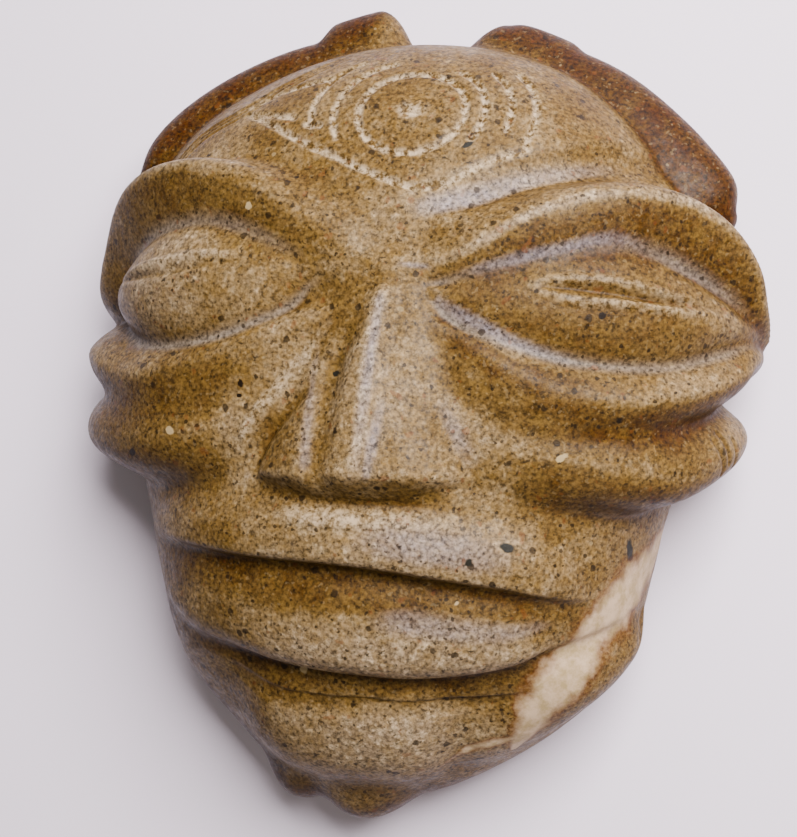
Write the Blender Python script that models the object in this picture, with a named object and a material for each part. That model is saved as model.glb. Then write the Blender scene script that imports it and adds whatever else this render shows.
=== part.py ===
"""A stone maskette: one block of speckled stone carved into a stylised face, lying on its flat back.

Metres, +Z up out of the face, +Y towards the forehead, +X to the viewer's right. The origin is the middle
of the block on its flat back. The carving is laid out in steps, a step being a millimetre on a mask of
this size, and the carved form is then fitted to the three sizes of the block.
"""

import bpy
import bmesh
import numpy as np

# The block, in metres
MASK_HEIGHT = 0.220
MASK_WIDTH = 0.185
MASK_DEPTH = 0.075

# The stone
STONE_COLOUR = (0.27, 0.18, 0.09, 1.0)
STONE_ROUGHNESS = 0.35

# How finely it is cut
CUTS_ACROSS_A_SIDE = 130
FACETS_BEFORE_THE_BACK_IS_CUT = 11000
SMOOTHING_PASSES = 3
SMOOTHING_SHARE = 0.5
SHARP_ANGLE = 0.6

# Everything below is in carving steps, about the middle of the back
HEART = np.array([-3.0, 0.0, 16.0])     # inside the stone, on the level of its widest line
BLANK_REACH = np.array([92.0, 108.0, 66.0])   # the half sizes of the blank the cuts are spread over
BACK_DROP = 45.0                        # how far below the heart's level the sides would close
SIDE_POWER = 2.2
FRONT_POWER = 2.05
FURTHEST = 200.0                        # well outside the stone in every direction
HALVINGS = 36                           # of that distance, to find the surface along a ray
TOUCHES = 12                            # to find the point of the front under a place on it

# The widest line of the plain body, anticlockwise from the top: x, y
BODY_OUTLINE = [
    (0, 100), (-27, 97), (-50, 88), (-69, 75), (-81, 57), (-85, 37), (-86, 13), (-82, -10), (-76, -30),
    (-71, -50), (-63, -72), (-47, -89), (-38, -97), (-27, -103), (-14, -106), (-1, -105), (10, -102),
    (27, -93), (42, -82), (51, -73), (61, -53), (64, -39), (67, -23), (73, -5), (80, 16), (78, 37),
    (72, 54), (60, 72), (45, 86), (28, 95)]

# The height of the plain body's front along its middle, over the level of the widest line: y, height
BODY_PROFILE = [
    (-122, 34), (-107, 38), (-92, 43), (-74, 47), (-52, 51), (-26, 52), (0, 50), (26, 50), (47, 52),
    (65, 54), (84, 56), (106, 58), (122, 58)]

# Raised forms are bands along a line: x, y, z, half width above the line, half width below it, rise.
# Each line runs to the viewer's right.
# The hollows that the eyes lie in are the same rows, with a depth for the rise.
EYE_SOCKET_RIGHT = [
    (18, 31, 68, 10, 9, 2), (45, 29, 64, 26, 19, 6), (68, 27, 48, 24, 16, 6), (86, 27, 30, 10, 8, 2)]
EYE_SOCKET_LEFT = [
    (-96, 28, 30, 8, 8, 3), (-74, 27, 48, 20, 15, 6), (-48, 29, 63, 22, 17, 6), (-22, 33, 68, 9, 9, 2)]

BROW_RIGHT = [
    (0, 37, 69, 5, 6, 1), (12, 40, 69, 7, 7, 1.5), (26, 45.5, 68, 8, 11, 4.5), (40, 51.5, 63, 8.5, 15, 7.5),
    (54, 55.5, 56, 9, 16, 9.5), (66, 54, 46, 8.5, 14, 11), (76, 47.5, 36, 7.5, 12, 12.5),
    (83, 39, 30, 6.5, 9, 13.5), (88, 31, 26, 6.5, 7, 12.5), (91, 24, 17, 6, 5, 11)]
BROW_LEFT = [
    (-97, 21, 12, 6, 5, 9), (-96, 29, 26, 6, 7, 10.5), (-92, 42, 33, 5, 9, 10), (-85, 51, 40, 5, 12, 10),
    (-68, 57.5, 51, 6, 12.5, 10.5), (-52, 60, 60, 8, 12, 9), (-37, 56.5, 66, 9, 10.5, 6.5),
    (-22, 48.5, 69, 9, 9, 3.5), (-9, 41, 69, 8, 7, 2), (2, 38, 69, 6, 6, 1)]

EYE_POD_RIGHT = [
    (13, 32, 69, 2, 2, 0.5), (28, 30, 67, 9.5, 9, 3), (43, 29, 63, 17.5, 13, 6),
    (57, 28.3, 57, 21, 16, 8), (68, 26, 49, 18, 14, 8.5), (78, 25.5, 38, 12, 9, 8.5), (86, 25, 28, 6, 5, 9),
    (90, 23.5, 18, 3, 3, 9)]
EYE_POD_LEFT = [
    (-87, 27, 36, 3, 4, 3), (-81, 27, 44, 11, 9, 6), (-72, 28, 52, 17, 13.5, 7.5),
    (-60, 29, 58, 19.5, 15, 7.5), (-47.5, 32.5, 63, 17.5, 14.5, 6), (-36, 35, 66, 11, 11, 3.5),
    (-22, 37, 68, 3, 3, 0.5)]

UNDER_EYE_ROLL_RIGHT = [
    (18, 22, 69, 4, 7, 1), (31, 13, 68, 8, 10, 4), (45, 6.5, 64, 10.5, 11, 7), (58, 5, 57, 11.5, 10.5, 9.5),
    (71, 8, 47, 9.5, 11, 11), (80, 13, 34, 10, 9.5, 11), (86, 18, 27, 11, 8, 10.5), (88, 19, 16, 11, 8, 9.5)]
UNDER_EYE_ROLL_LEFT = [
    (-97, 12, 12, 11, 12, 10), (-97, 12, 24, 11, 12, 12), (-92, 10, 35, 10, 12, 11), (-80, 6, 47, 9, 13, 8),
    (-64, 6, 57, 9, 12, 6.5), (-46, 11, 65, 7, 11, 4.5), (-32, 18, 68, 5, 9, 2.5), (-20, 25, 69, 3, 6, 1)]

CHEEK_ROLL_RIGHT = [
    (28, -5, 68, 12, 10, 2), (44, -9, 64, 14, 11, 6), (59, -12, 55, 15, 11, 10), (72, -12, 43, 14, 11, 13),
    (80, -7, 31, 12, 11, 14), (84, -4, 20, 11, 11, 13), (84, -4, 10, 11, 11, 11)]
CHEEK_ROLL_LEFT = [
    (-94, -10, 10, 12, 9, 12), (-94, -10, 22, 13, 9, 14), (-88, -11, 35, 13, 10, 13),
    (-76, -12, 47, 14, 11, 10), (-59, -10, 58, 14, 11, 7), (-42, -6, 65, 13, 10, 3), (-28, 0, 67, 8, 8, 1)]

HEADBAND_LEFT = [
    (-80, 58, 24, 6, 6, 7), (-75, 65, 22, 5, 9, 9), (-65, 78, 18, 5, 9, 9), (-52, 90, 15, 5, 9, 9),
    (-38, 97, 12, 5, 9, 8.5), (-26, 100, 10, 5, 9, 7.5)]
HEADBAND_RIGHT = [
    (13, 100, 10, 6, 9, 5), (28, 98, 11, 7, 10, 7), (44, 90, 13, 8, 11, 8.5), (57, 80, 16, 8, 11, 9.5),
    (67, 69, 18, 8, 11, 11), (74, 60, 20, 7, 9, 12), (76, 54, 20, 6, 6, 9)]
HEADBAND_LUMP_LEFT = [
    (-31, 101.5, 12, 7.5, 9, 12.5), (-20, 103.5, 12, 8.5, 9, 13.2)]
HEADBAND_LUMP_RIGHT = [
    (15, 101, 12, 9, 9, 9), (20, 101, 12, 8, 9, 10), (31, 99, 12, 7, 9, 9)]

UPPER_LIP = [
    (-66, -36, 42, 9, 4, 1), (-48, -35, 56, 11, 5, 3), (-27, -36, 65, 12, 5.5, 4),
    (-8, -37.5, 70, 12, 5.5, 4.5), (10, -39, 69, 12, 5.5, 4.5), (31, -41.5, 64, 12, 5, 3.5),
    (44, -44, 57, 11, 4.5, 2.5), (56, -47, 46, 8, 4, 0)]
LOWER_LIP = [
    (-68, -46, 34, 7, 6, 0), (-58, -53, 46, 13, 8, 1.8), (-42, -59, 56, 16, 9, 3.6),
    (-24, -62, 61, 19, 9.5, 5), (-5, -63, 62, 19, 9.5, 5.4), (10, -62.5, 60, 18, 9.5, 5.2),
    (26, -60, 56, 15, 9, 4.2), (36, -58, 52, 12, 7, 3), (45, -54, 47, 7, 5, 0)]

CHIN = [
    (-22, -84, 44, 17, 17, 6), (2, -84, 44, 17, 17, 6)]
CHIN_BUMP_LEFT = [
    (-29, -99, 20, 10, 9, 6), (-27, -99, 8, 10, 9, 6)]
CHIN_BUMP_RIGHT = [
    (-9, -101, 22, 12, 12, 6), (-8, -101, 8, 12, 12, 6)]
JAW_PANEL_RIGHT = [
    (26, -76, 36, 9, 12, 3), (43, -64, 34, 9, 12, 4), (56, -54, 24, 7, 10, 4)]

# The nose: from its root down to the middle of its base
NOSE_ROOT_MIDDLE = (2.0, 29.0)
NOSE_BASE_MIDDLE = (-3.0, -16.5)
NOSE_BASE_TILT = 0.05                   # how fast the base climbs towards the viewer's right
NOSE_HALF_WIDTH_AT_ROOT = 6.0
NOSE_HALF_WIDTH_AT_BASE = 28.0
NOSE_RISE_AT_ROOT = 1.0
NOSE_RISE_AT_BASE = 9.0
NOSE_UNDERSIDE_RUN = 10.5
NOSE_FILLET_AT_ROOT = 8.0
NOSE_POWER = 2.3
ROOT_RUN_OUT = 0.5                      # how fast the wedge dies away above the root
NOSE_FRONT_LEVEL = 36.0                 # the nose is only cut above this level

# The groove beside the nose's left wing, the flute between that wing and the ridge, and the ridge, whose
# depth is below nothing because it stands up
NOSE_GROOVE_LEFT = [
    (-31, -17, 64, 2.5, 2, 1.8), (-29, -10, 65, 2.5, 2, 1.8), (-23, -2, 66, 2.5, 2, 1.4),
    (-14, 8, 68, 2, 2, 0)]
NOSE_FLUTE_LEFT = [
    (-12, -15, 70, 5, 6, 2), (-12.5, -4, 70, 5, 6, 2.2), (-11, 10, 69, 4, 5, 1.8), (-5.5, 23, 69, 2, 3, 0)]
NOSE_RIDGE = [
    (0, 28, 69, 5, 5, -2), (-1.5, 12, 70, 5, 8, -1.8), (-1.5, -2, 71, 6, 11, -1), (-2, -13, 71, 6, 11, -0.5)]

# The eye slits
EYE_SLIT_RIGHT = [
    (36, 31.5, 62, 1, 1.5, 0), (42, 32, 62, 1.2, 2, 1.3), (54, 31, 58, 1.2, 2.4, 1.5),
    (66, 29.3, 50, 1.2, 2, 1.3), (78, 28, 36, 1, 1, 0)]
EYE_SLIT_LEFT = [
    (-83, 29, 38, 1, 1, 0), (-72, 30, 50, 1, 1.5, 0.8), (-60, 31, 58, 1, 1.5, 0.8),
    (-48, 33, 62, 1, 1.5, 0.6), (-37, 34.5, 63, 1, 1, 0)]

# The engraved forehead: rings and part rings about one middle, and the lid of an eye below them
RING_MIDDLE = (0.8, 75.6)
RING_FLATTENING = 0.83
RINGS = [
    (13.8, 0, 360), (20.5, 113, 206), (27, 130, 191), (18.6, -27, 55), (25, -12, 40), (31, -17, 35)]
RING_LEAST_POINTS = 4                   # that the shortest part ring is drawn through
RING_POINT_GAP = 30.0                   # degrees from one further point to the next
RING_PIT_HALF = 2.4
LID_LINE = [
    (-47, 77), (-36, 71.5), (-26, 66.5), (-16, 62.5), (-7.5, 59), (3.5, 55.5), (12, 57), (20, 61.5),
    (31, 66.5)]
ENGRAVED_HALF = 1.1
ENGRAVED_DEPTH = 0.7

# Grooves cut in afterwards: x, y, z, half width above, half width below, depth
MOUTH_LINE = [
    (-68, -36, 38, 2, 5, 0), (-58, -37, 48, 2.5, 6, 1), (-44, -38.5, 58, 3, 7, 1.2),
    (-27, -40.5, 65, 3, 8, 1.3), (-8, -42, 69, 3, 8, 1.3), (10, -43.5, 69, 3, 8, 1.3),
    (31, -46, 64, 3, 7, 1.2), (44, -48, 57, 2.5, 6, 1), (56, -49, 46, 2, 5, 0)]
LIP_FOLD = [
    (-60, -59.5, 42, 4, 4, 0), (-42, -68, 52, 4.5, 6, 1), (-25, -72, 56, 4.5, 7, 1.3),
    (-5, -73, 57, 4.5, 7, 1.3), (14, -72.5, 55, 4.5, 7, 1.3), (30, -69.5, 52, 4.5, 6, 1.4),
    (43, -62, 47, 3.5, 6, 1.5), (54, -54.5, 36, 4, 5, 1.5), (62, -48, 20, 4, 5, 0)]
BROW_VALLEY_RIGHT = [
    (4, 49, 63, 5, 5, 0), (12, 52, 61, 6, 5, 1.5), (21, 55, 59, 6, 6, 2.5), (32, 59, 54, 6, 6, 3),
    (44, 63, 48, 6, 6, 3), (55, 65.5, 39, 6, 6, 2.2), (66, 65, 26, 5, 5, 0)]

# How the cuts are worked: the power of each band's section above and below its line, and the fillet where
# it meets the rest
BROW_POWER = (1.7, 1.35)
UNDER_EYE_POWER = (1.3, 2.2)
CHEEK_POWER = (2.0, 2.2)
SOCKET_POWER = 1.2
GROOVE_POWER = 2.0
ENGRAVING_POWER = 1.0
DOME_POWER = (2.0, 2.0)
HEADBAND_POWER = (2.6, 2.6)
UPPER_LIP_POWER = (2.4, 1.6)
LOWER_LIP_POWER = (1.6, 1.6)
CREASE_FILLET = 2.0
BROW_FILLET = 4.0
CHEEK_FILLET = 6.0
LEAST_FILLET = 0.05
LEAST_FALL = 3.0                        # how far a band falls over its half width, at the least
LINE_STEPS = 16                         # lengths that a line is cut into between two of its rows
LINE_REACH = 1.6                        # how far from its line a band can matter, in half widths
LINE_MARGIN = 4.0                       # and in steps beyond that


def smooth_max(a, b, fillet):
    """The larger of two heights, with the crease between them filled to a radius."""
    near = np.maximum(fillet - np.abs(a - b), 0.0) / fillet
    return np.maximum(a, b) + fillet * near ** 2 / 4


def catmull_rom(rows, steps):
    """A smooth curve through the rows, every column carried along."""
    rows = np.array(rows, float)
    ends = np.vstack([2 * rows[0] - rows[1], rows, 2 * rows[-1] - rows[-2]])
    out = []
    for i in range(1, len(ends) - 2):
        p0, p1, p2, p3 = ends[i - 1:i + 3]
        for t in np.arange(steps) / steps:
            out.append(0.5 * (2 * p1 + (p2 - p0) * t + (2 * p0 - 5 * p1 + 4 * p2 - p3) * t ** 2
                              + (3 * p1 - p0 - 3 * p2 + p3) * t ** 3))
    out.append(ends[-2])
    return np.array(out)


def outline_reach(angle):
    """How far the plain body's widest line is from the heart, at an angle round the face."""
    points = np.array(BODY_OUTLINE, float) - HEART[:2]
    turn = np.arctan2(points[:, 1], points[:, 0])
    order = np.argsort(turn)
    turn = turn[order]
    reach = np.hypot(points[:, 0], points[:, 1])[order]
    turn = np.concatenate([turn[-2:] - 2 * np.pi, turn, turn[:2] + 2 * np.pi])
    reach = np.concatenate([reach[-2:], reach, reach[:2]])
    i = np.clip(np.searchsorted(turn, angle) - 1, 1, len(turn) - 3)
    gap = turn[i + 1] - turn[i]
    t = (angle - turn[i]) / gap
    slope_in = (reach[i + 1] - reach[i - 1]) / (turn[i + 1] - turn[i - 1]) * gap
    slope_out = (reach[i + 2] - reach[i]) / (turn[i + 2] - turn[i]) * gap
    return ((2 * t ** 3 - 3 * t ** 2 + 1) * reach[i] + (t ** 3 - 2 * t ** 2 + t) * slope_in
            + (3 * t ** 2 - 2 * t ** 3) * reach[i + 1] + (t ** 3 - t ** 2) * slope_out)


PROFILE_CURVE = catmull_rom(BODY_PROFILE, LINE_STEPS)


def body_reach(rays):
    """How far the plain body's surface is from the heart along each ray."""
    flat = np.hypot(rays[:, 0], rays[:, 1])
    side = outline_reach(np.arctan2(rays[:, 1], rays[:, 0]))
    near = np.zeros(len(rays))
    far = np.full(len(rays), FURTHEST)
    for _ in range(HALVINGS):
        middle = (near + far) / 2
        front = np.interp(HEART[1] + middle * rays[:, 1], PROFILE_CURVE[:, 0], PROFILE_CURVE[:, 1])
        rise = np.where(rays[:, 2] > 0, front, BACK_DROP)
        out = (middle * flat / side) ** SIDE_POWER + (middle * np.abs(rays[:, 2]) / rise) ** FRONT_POWER
        inside = out < 1
        near = np.where(inside, middle, near)
        far = np.where(inside, far, middle)
    return near


def on_body(points):
    """Where the rays from the heart through some points leave the plain body, and the rays."""
    rays = points - HEART
    rays = rays / np.linalg.norm(rays, axis=1)[:, None]
    return HEART + rays * body_reach(rays)[:, None], rays


def along(surface, rows):
    """Which surface points are near a line on the body, how many half widths above it, and its rise there."""
    curve = catmull_rom(rows, LINE_STEPS)
    line, out = on_body(curve[:, :3])
    reach = curve[:, 3:5].max() * LINE_REACH + LINE_MARGIN
    close = np.all((surface > line.min(0) - reach) & (surface < line.max(0) + reach), axis=1)
    p = surface[close]
    best = np.full(len(p), FURTHEST ** 2)
    half = np.ones(len(p))
    side = np.ones(len(p))
    rise = np.zeros(len(p))
    for i in range(len(line) - 1):
        run = line[i + 1] - line[i]
        t = np.clip((p - line[i]) @ run / (run @ run), 0, 1)
        off = p - line[i] - t[:, None] * run
        far = np.einsum('ij,ij->i', off, off)
        up = np.cross(out[i], run)
        above = off @ up > 0
        row = curve[i] + t[:, None] * (curve[i + 1] - curve[i])
        nearer = far < best
        best = np.where(nearer, far, best)
        side = np.where(nearer, np.where(above, 1.0, -1.0), side)
        half = np.where(nearer, np.where(above, row[:, 3], row[:, 4]), half)
        rise = np.where(nearer, row[:, 5], rise)
    return close, side * np.sqrt(best) / half, rise


def raise_band(height, surface, rows, power, fillet):
    """Add a raised band whose crown is the rows' line."""
    close, across, rise = along(surface, rows)
    fall = np.abs(across) ** np.where(across > 0, power[0], power[1])
    band = rise - np.maximum(rise, LEAST_FALL) * fall
    height[close] = smooth_max(height[close], band, np.clip(rise, LEAST_FILLET, fillet))


def sink(height, surface, rows, power):
    """Cut a hollow or groove along the rows' line."""
    close, across, depth = along(surface, rows)
    height[close] -= depth * np.maximum(1 - across ** 2, 0) ** power


def on_front(x, y):
    """The point of the plain body's front that is seen at x, y from straight ahead."""
    guess = np.array([[x, y, HEART[2] + BACK_DROP]])
    for _ in range(TOUCHES):
        seen, _ = on_body(guess)
        guess[0, :2] += np.array([x, y]) - seen[0, :2]
    return seen[0]


def engraved(points):
    """Rows for an engraved line through some points of the front."""
    return [(*on_front(x, y), ENGRAVED_HALF, ENGRAVED_HALF, ENGRAVED_DEPTH) for x, y in points]


def forehead_lines():
    """The rings, the part rings and the lid line."""
    lines = []
    for radius, start, stop in RINGS:
        turns = np.radians(np.linspace(start, stop, RING_LEAST_POINTS + int((stop - start) / RING_POINT_GAP)))
        lines.append(engraved([(RING_MIDDLE[0] + radius * np.cos(a),
                                RING_MIDDLE[1] + radius * RING_FLATTENING * np.sin(a)) for a in turns]))
    lines.append(engraved(LID_LINE))
    x, y = RING_MIDDLE
    pit = [on_front(x - 1, y), on_front(x + 1, y)]
    lines.append([(*p, RING_PIT_HALF, RING_PIT_HALF, ENGRAVED_DEPTH) for p in pit])
    return lines


def raise_nose(height, surface, rays):
    """Add the nose: a wedge that widens and rises to a base cut off short."""
    length = NOSE_ROOT_MIDDLE[1] - NOSE_BASE_MIDDLE[1]
    down = NOSE_ROOT_MIDDLE[1] - surface[:, 1]
    share = np.clip(down / length, 0, 1)
    middle = NOSE_ROOT_MIDDLE[0] + (NOSE_BASE_MIDDLE[0] - NOSE_ROOT_MIDDLE[0]) * share
    half = NOSE_HALF_WIDTH_AT_ROOT + (NOSE_HALF_WIDTH_AT_BASE - NOSE_HALF_WIDTH_AT_ROOT) * share
    rise = NOSE_RISE_AT_ROOT + (NOSE_RISE_AT_BASE - NOSE_RISE_AT_ROOT) * share
    wedge = rise * (1 - (np.abs(surface[:, 0] - middle) / half) ** NOSE_POWER)
    base = NOSE_BASE_MIDDLE[1] + NOSE_BASE_TILT * (surface[:, 0] - NOSE_BASE_MIDDLE[0])
    under = base - surface[:, 1] - rays[:, 1] * np.maximum(wedge, 0)
    wedge -= np.maximum(under, 0) * NOSE_RISE_AT_BASE / NOSE_UNDERSIDE_RUN
    wedge -= np.maximum(-down, 0) * ROOT_RUN_OUT
    facing = surface[:, 2] > NOSE_FRONT_LEVEL
    fillet = NOSE_FILLET_AT_ROOT + (CREASE_FILLET - NOSE_FILLET_AT_ROOT) * share
    height[facing] = smooth_max(height, wedge, fillet)[facing]


def carved(points):
    """The carved surface, in steps, on the rays from the heart through some points."""
    surface, rays = on_body(points)
    height = np.zeros(len(surface))
    for rows in (EYE_SOCKET_LEFT, EYE_SOCKET_RIGHT, BROW_VALLEY_RIGHT):
        sink(height, surface, rows, SOCKET_POWER)
    for rows in (CHIN, JAW_PANEL_RIGHT, CHIN_BUMP_LEFT, CHIN_BUMP_RIGHT):
        raise_band(height, surface, rows, DOME_POWER, CHEEK_FILLET)
    for rows in (HEADBAND_LEFT, HEADBAND_RIGHT):
        raise_band(height, surface, rows, HEADBAND_POWER, CREASE_FILLET)
    for rows in (HEADBAND_LUMP_LEFT, HEADBAND_LUMP_RIGHT):
        raise_band(height, surface, rows, DOME_POWER, BROW_FILLET)
    for rows in (CHEEK_ROLL_LEFT, CHEEK_ROLL_RIGHT):
        raise_band(height, surface, rows, CHEEK_POWER, CHEEK_FILLET)
    for rows in (UNDER_EYE_ROLL_LEFT, UNDER_EYE_ROLL_RIGHT):
        raise_band(height, surface, rows, UNDER_EYE_POWER, CHEEK_FILLET)
    for rows in (BROW_LEFT, BROW_RIGHT):
        raise_band(height, surface, rows, BROW_POWER, BROW_FILLET)
    for rows in (EYE_POD_LEFT, EYE_POD_RIGHT):
        raise_band(height, surface, rows, DOME_POWER, CREASE_FILLET)
    raise_nose(height, surface, rays)
    sink(height, surface, NOSE_RIDGE, GROOVE_POWER)
    raise_band(height, surface, LOWER_LIP, LOWER_LIP_POWER, CREASE_FILLET)
    raise_band(height, surface, UPPER_LIP, UPPER_LIP_POWER, CREASE_FILLET)
    for rows in (NOSE_GROOVE_LEFT, NOSE_FLUTE_LEFT, MOUTH_LINE, LIP_FOLD, EYE_SLIT_LEFT, EYE_SLIT_RIGHT):
        sink(height, surface, rows, GROOVE_POWER)
    for rows in forehead_lines():
        sink(height, surface, rows, ENGRAVING_POWER)
    return surface + rays * height[:, None]


def clear_scene():
    """Remove whatever the file opened with."""
    for thing in list(bpy.data.objects):
        bpy.data.objects.remove(thing)


def stone_material():
    """Polished speckled stone, plain here."""
    stone = bpy.data.materials.new("polished_stone")
    stone.use_nodes = True
    shader = stone.node_tree.nodes["Principled BSDF"]
    shader.inputs["Base Color"].default_value = STONE_COLOUR
    shader.inputs["Roughness"].default_value = STONE_ROUGHNESS
    shader.inputs["Metallic"].default_value = 0.0
    return stone


def blank_stone():
    """A cube cut into a fine grid, with its points moved out to an evenly spaced ellipsoid."""
    blank = bmesh.new()
    bmesh.ops.create_cube(blank, size=2.0)
    bmesh.ops.subdivide_edges(blank, edges=blank.edges[:], cuts=CUTS_ACROSS_A_SIDE, use_grid_fill=True)
    even = np.tan(np.array([vert.co[:] for vert in blank.verts]) * np.pi / 4)
    even = even / np.linalg.norm(even, axis=1)[:, None]
    return blank, HEART + even * BLANK_REACH


def rubbed_and_thinned(stone):
    """The carved mesh after a light rub, with its facets thinned to the number asked for."""
    rub = stone.modifiers.new("Rub", "SMOOTH")
    rub.factor = SMOOTHING_SHARE
    rub.iterations = SMOOTHING_PASSES
    thin = stone.modifiers.new("Thin", "DECIMATE")
    thin.ratio = FACETS_BEFORE_THE_BACK_IS_CUT / (2 * len(stone.data.polygons))
    bpy.context.view_layer.update()
    evaluated = stone.evaluated_get(bpy.context.evaluated_depsgraph_get())
    thinned = bmesh.new()
    thinned.from_mesh(evaluated.data)
    stone.modifiers.clear()
    return thinned


def cut_back_flat(mesh):
    """Saw the back off flat and close it with one face."""
    bmesh.ops.bisect_plane(mesh, geom=mesh.verts[:] + mesh.edges[:] + mesh.faces[:], dist=1e-4,
                           plane_co=(0, 0, 0), plane_no=(0, 0, 1), clear_inner=True)
    rim = [edge for edge in mesh.edges if edge.is_boundary]
    bmesh.ops.edgeloop_fill(mesh, edges=rim)
    for edge in rim:
        for vert in edge.verts:
            vert.co.z = 0.0


def fit_to_size(mesh):
    """Bring the carved stone to the block's three sizes, with its middle over the origin."""
    places = np.array([vert.co[:] for vert in mesh.verts])
    low = places.min(0)
    high = places.max(0)
    fit = np.array([MASK_WIDTH, MASK_HEIGHT, MASK_DEPTH]) / (high - low)
    middle = (low + high) / 2
    middle[2] = low[2]
    for vert, place in zip(mesh.verts, places):
        vert.co = (place - middle) * fit


def maskette(collection):
    """Carve the block, thin its facets, cut it flat at the back and bring it to size."""
    blank, points = blank_stone()
    for vert, place in zip(blank.verts, carved(points)):
        vert.co = place
    mesh = bpy.data.meshes.new("maskette")
    blank.to_mesh(mesh)
    blank.free()
    stone = bpy.data.objects.new("maskette", mesh)
    collection.objects.link(stone)
    work = rubbed_and_thinned(stone)
    cut_back_flat(work)
    fit_to_size(work)
    bmesh.ops.recalc_face_normals(work, faces=work.faces[:])
    work.to_mesh(mesh)
    work.free()
    mesh.shade_smooth()
    mesh.set_sharp_from_angle(angle=SHARP_ANGLE)
    mesh.materials.append(stone_material())


def main():
    """Build the maskette."""
    clear_scene()
    parts = bpy.data.collections.new("stone_maskette")
    bpy.context.scene.collection.children.link(parts)
    maskette(parts)


main()
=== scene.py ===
"""A stone maskette lying on its flat back: one block of polished speckled stone carved into a stylised face.

Metres, +Z up out of the face, +Y towards the forehead, +X to the viewer's right. The carving is laid out in
steps, a step being about a millimetre, and the carved form is then fitted to the solid that it stands for.
"""

import math

import bpy
import numpy as np
from mathutils import Matrix, Vector


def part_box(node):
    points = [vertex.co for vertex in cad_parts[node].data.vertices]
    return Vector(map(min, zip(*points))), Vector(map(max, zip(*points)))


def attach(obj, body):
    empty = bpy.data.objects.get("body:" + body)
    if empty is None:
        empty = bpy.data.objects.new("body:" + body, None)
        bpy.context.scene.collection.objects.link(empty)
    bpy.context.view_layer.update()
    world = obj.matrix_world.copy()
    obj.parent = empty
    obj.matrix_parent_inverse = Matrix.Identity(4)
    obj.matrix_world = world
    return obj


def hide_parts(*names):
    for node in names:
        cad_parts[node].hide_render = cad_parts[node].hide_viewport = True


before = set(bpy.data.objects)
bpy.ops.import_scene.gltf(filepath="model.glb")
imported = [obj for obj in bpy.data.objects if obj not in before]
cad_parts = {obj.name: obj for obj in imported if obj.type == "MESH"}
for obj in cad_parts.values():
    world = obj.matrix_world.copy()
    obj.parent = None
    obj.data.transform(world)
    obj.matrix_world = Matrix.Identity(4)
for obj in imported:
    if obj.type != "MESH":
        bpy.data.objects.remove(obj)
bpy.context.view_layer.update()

bl_info = {
    "name": "Stone maskette",
    "version": (1, 0, 0),
    "blender": (4, 5, 0),
    "location": "3D View > Sidebar > Maskette",
    "description": "Carves a stone maskette, gives it its stone, and lays it on a pale floor",
    "category": "Object",
}

BLOCK_LOW, BLOCK_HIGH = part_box("maskette")
BLOCK = BLOCK_HIGH - BLOCK_LOW

# How the blank is cut: each side into strips, each strip again, and once more near the engraved lines
STRIPS = 4
CUTS_IN_A_STRIP = 35
CUTS_NEAR_LINES = 2
NEAR_LINES = 2.4                        # how near that is, in the line's half widths
SMOOTHING_PASSES = 2
SMOOTHING_SHARE = 0.5

# Everything below is in carving steps, about the middle of the back
HEART = np.array([-3.0, 0.0, 16.0])     # inside the stone, on the level of its widest line
BLANK_REACH = np.array([92.0, 108.0, 66.0])   # the half sizes of the blank the cuts are spread over
BACK_DROP = 45.0                        # how far below the heart's level the sides would close
SIDE_POWER = 2.2
FRONT_POWER = 2.05
FURTHEST = 200.0                        # well outside the stone in every direction
HALVINGS = 36                           # of that distance, to find the surface along a ray
TOUCHES = 12                            # to find the point of the front under a place on it

# The widest line of the plain body, anticlockwise from the top: x, y
BODY_OUTLINE = [
    (0, 100), (-27, 97), (-50, 88), (-69, 75), (-81, 57), (-85, 37), (-86, 13), (-82, -10), (-76, -30),
    (-71, -50), (-63, -72), (-47, -89), (-38, -97), (-27, -103), (-14, -106), (-1, -105), (10, -102),
    (27, -93), (42, -82), (51, -73), (61, -53), (64, -39), (67, -23), (73, -5), (80, 16), (78, 37),
    (72, 54), (60, 72), (45, 86), (28, 95)]

# The height of the plain body's front along its middle, over the level of the widest line: y, height
BODY_PROFILE = [
    (-122, 34), (-107, 38), (-92, 43), (-74, 47), (-52, 51), (-26, 52), (0, 50), (26, 50), (47, 52),
    (65, 54), (84, 56), (106, 58), (122, 58)]

# Raised forms are bands along a line: x, y, z, half width above the line, half width below it, rise.
# Each runs to the viewer's right. Where a line runs up or down, above it is on its left as it runs. The
# hollows that the eyes lie in are the same rows, with a depth for the rise.
EYE_SOCKET_RIGHT = [
    (18, 31, 68, 10, 9, 2), (45, 29, 64, 26, 19, 6), (68, 27, 48, 24, 16, 6), (86, 27, 30, 10, 8, 2)]
EYE_SOCKET_LEFT = [
    (-96, 28, 30, 8, 8, 3), (-74, 27, 48, 20, 15, 6), (-48, 29, 63, 22, 17, 6), (-22, 33, 68, 9, 9, 2)]

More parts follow.
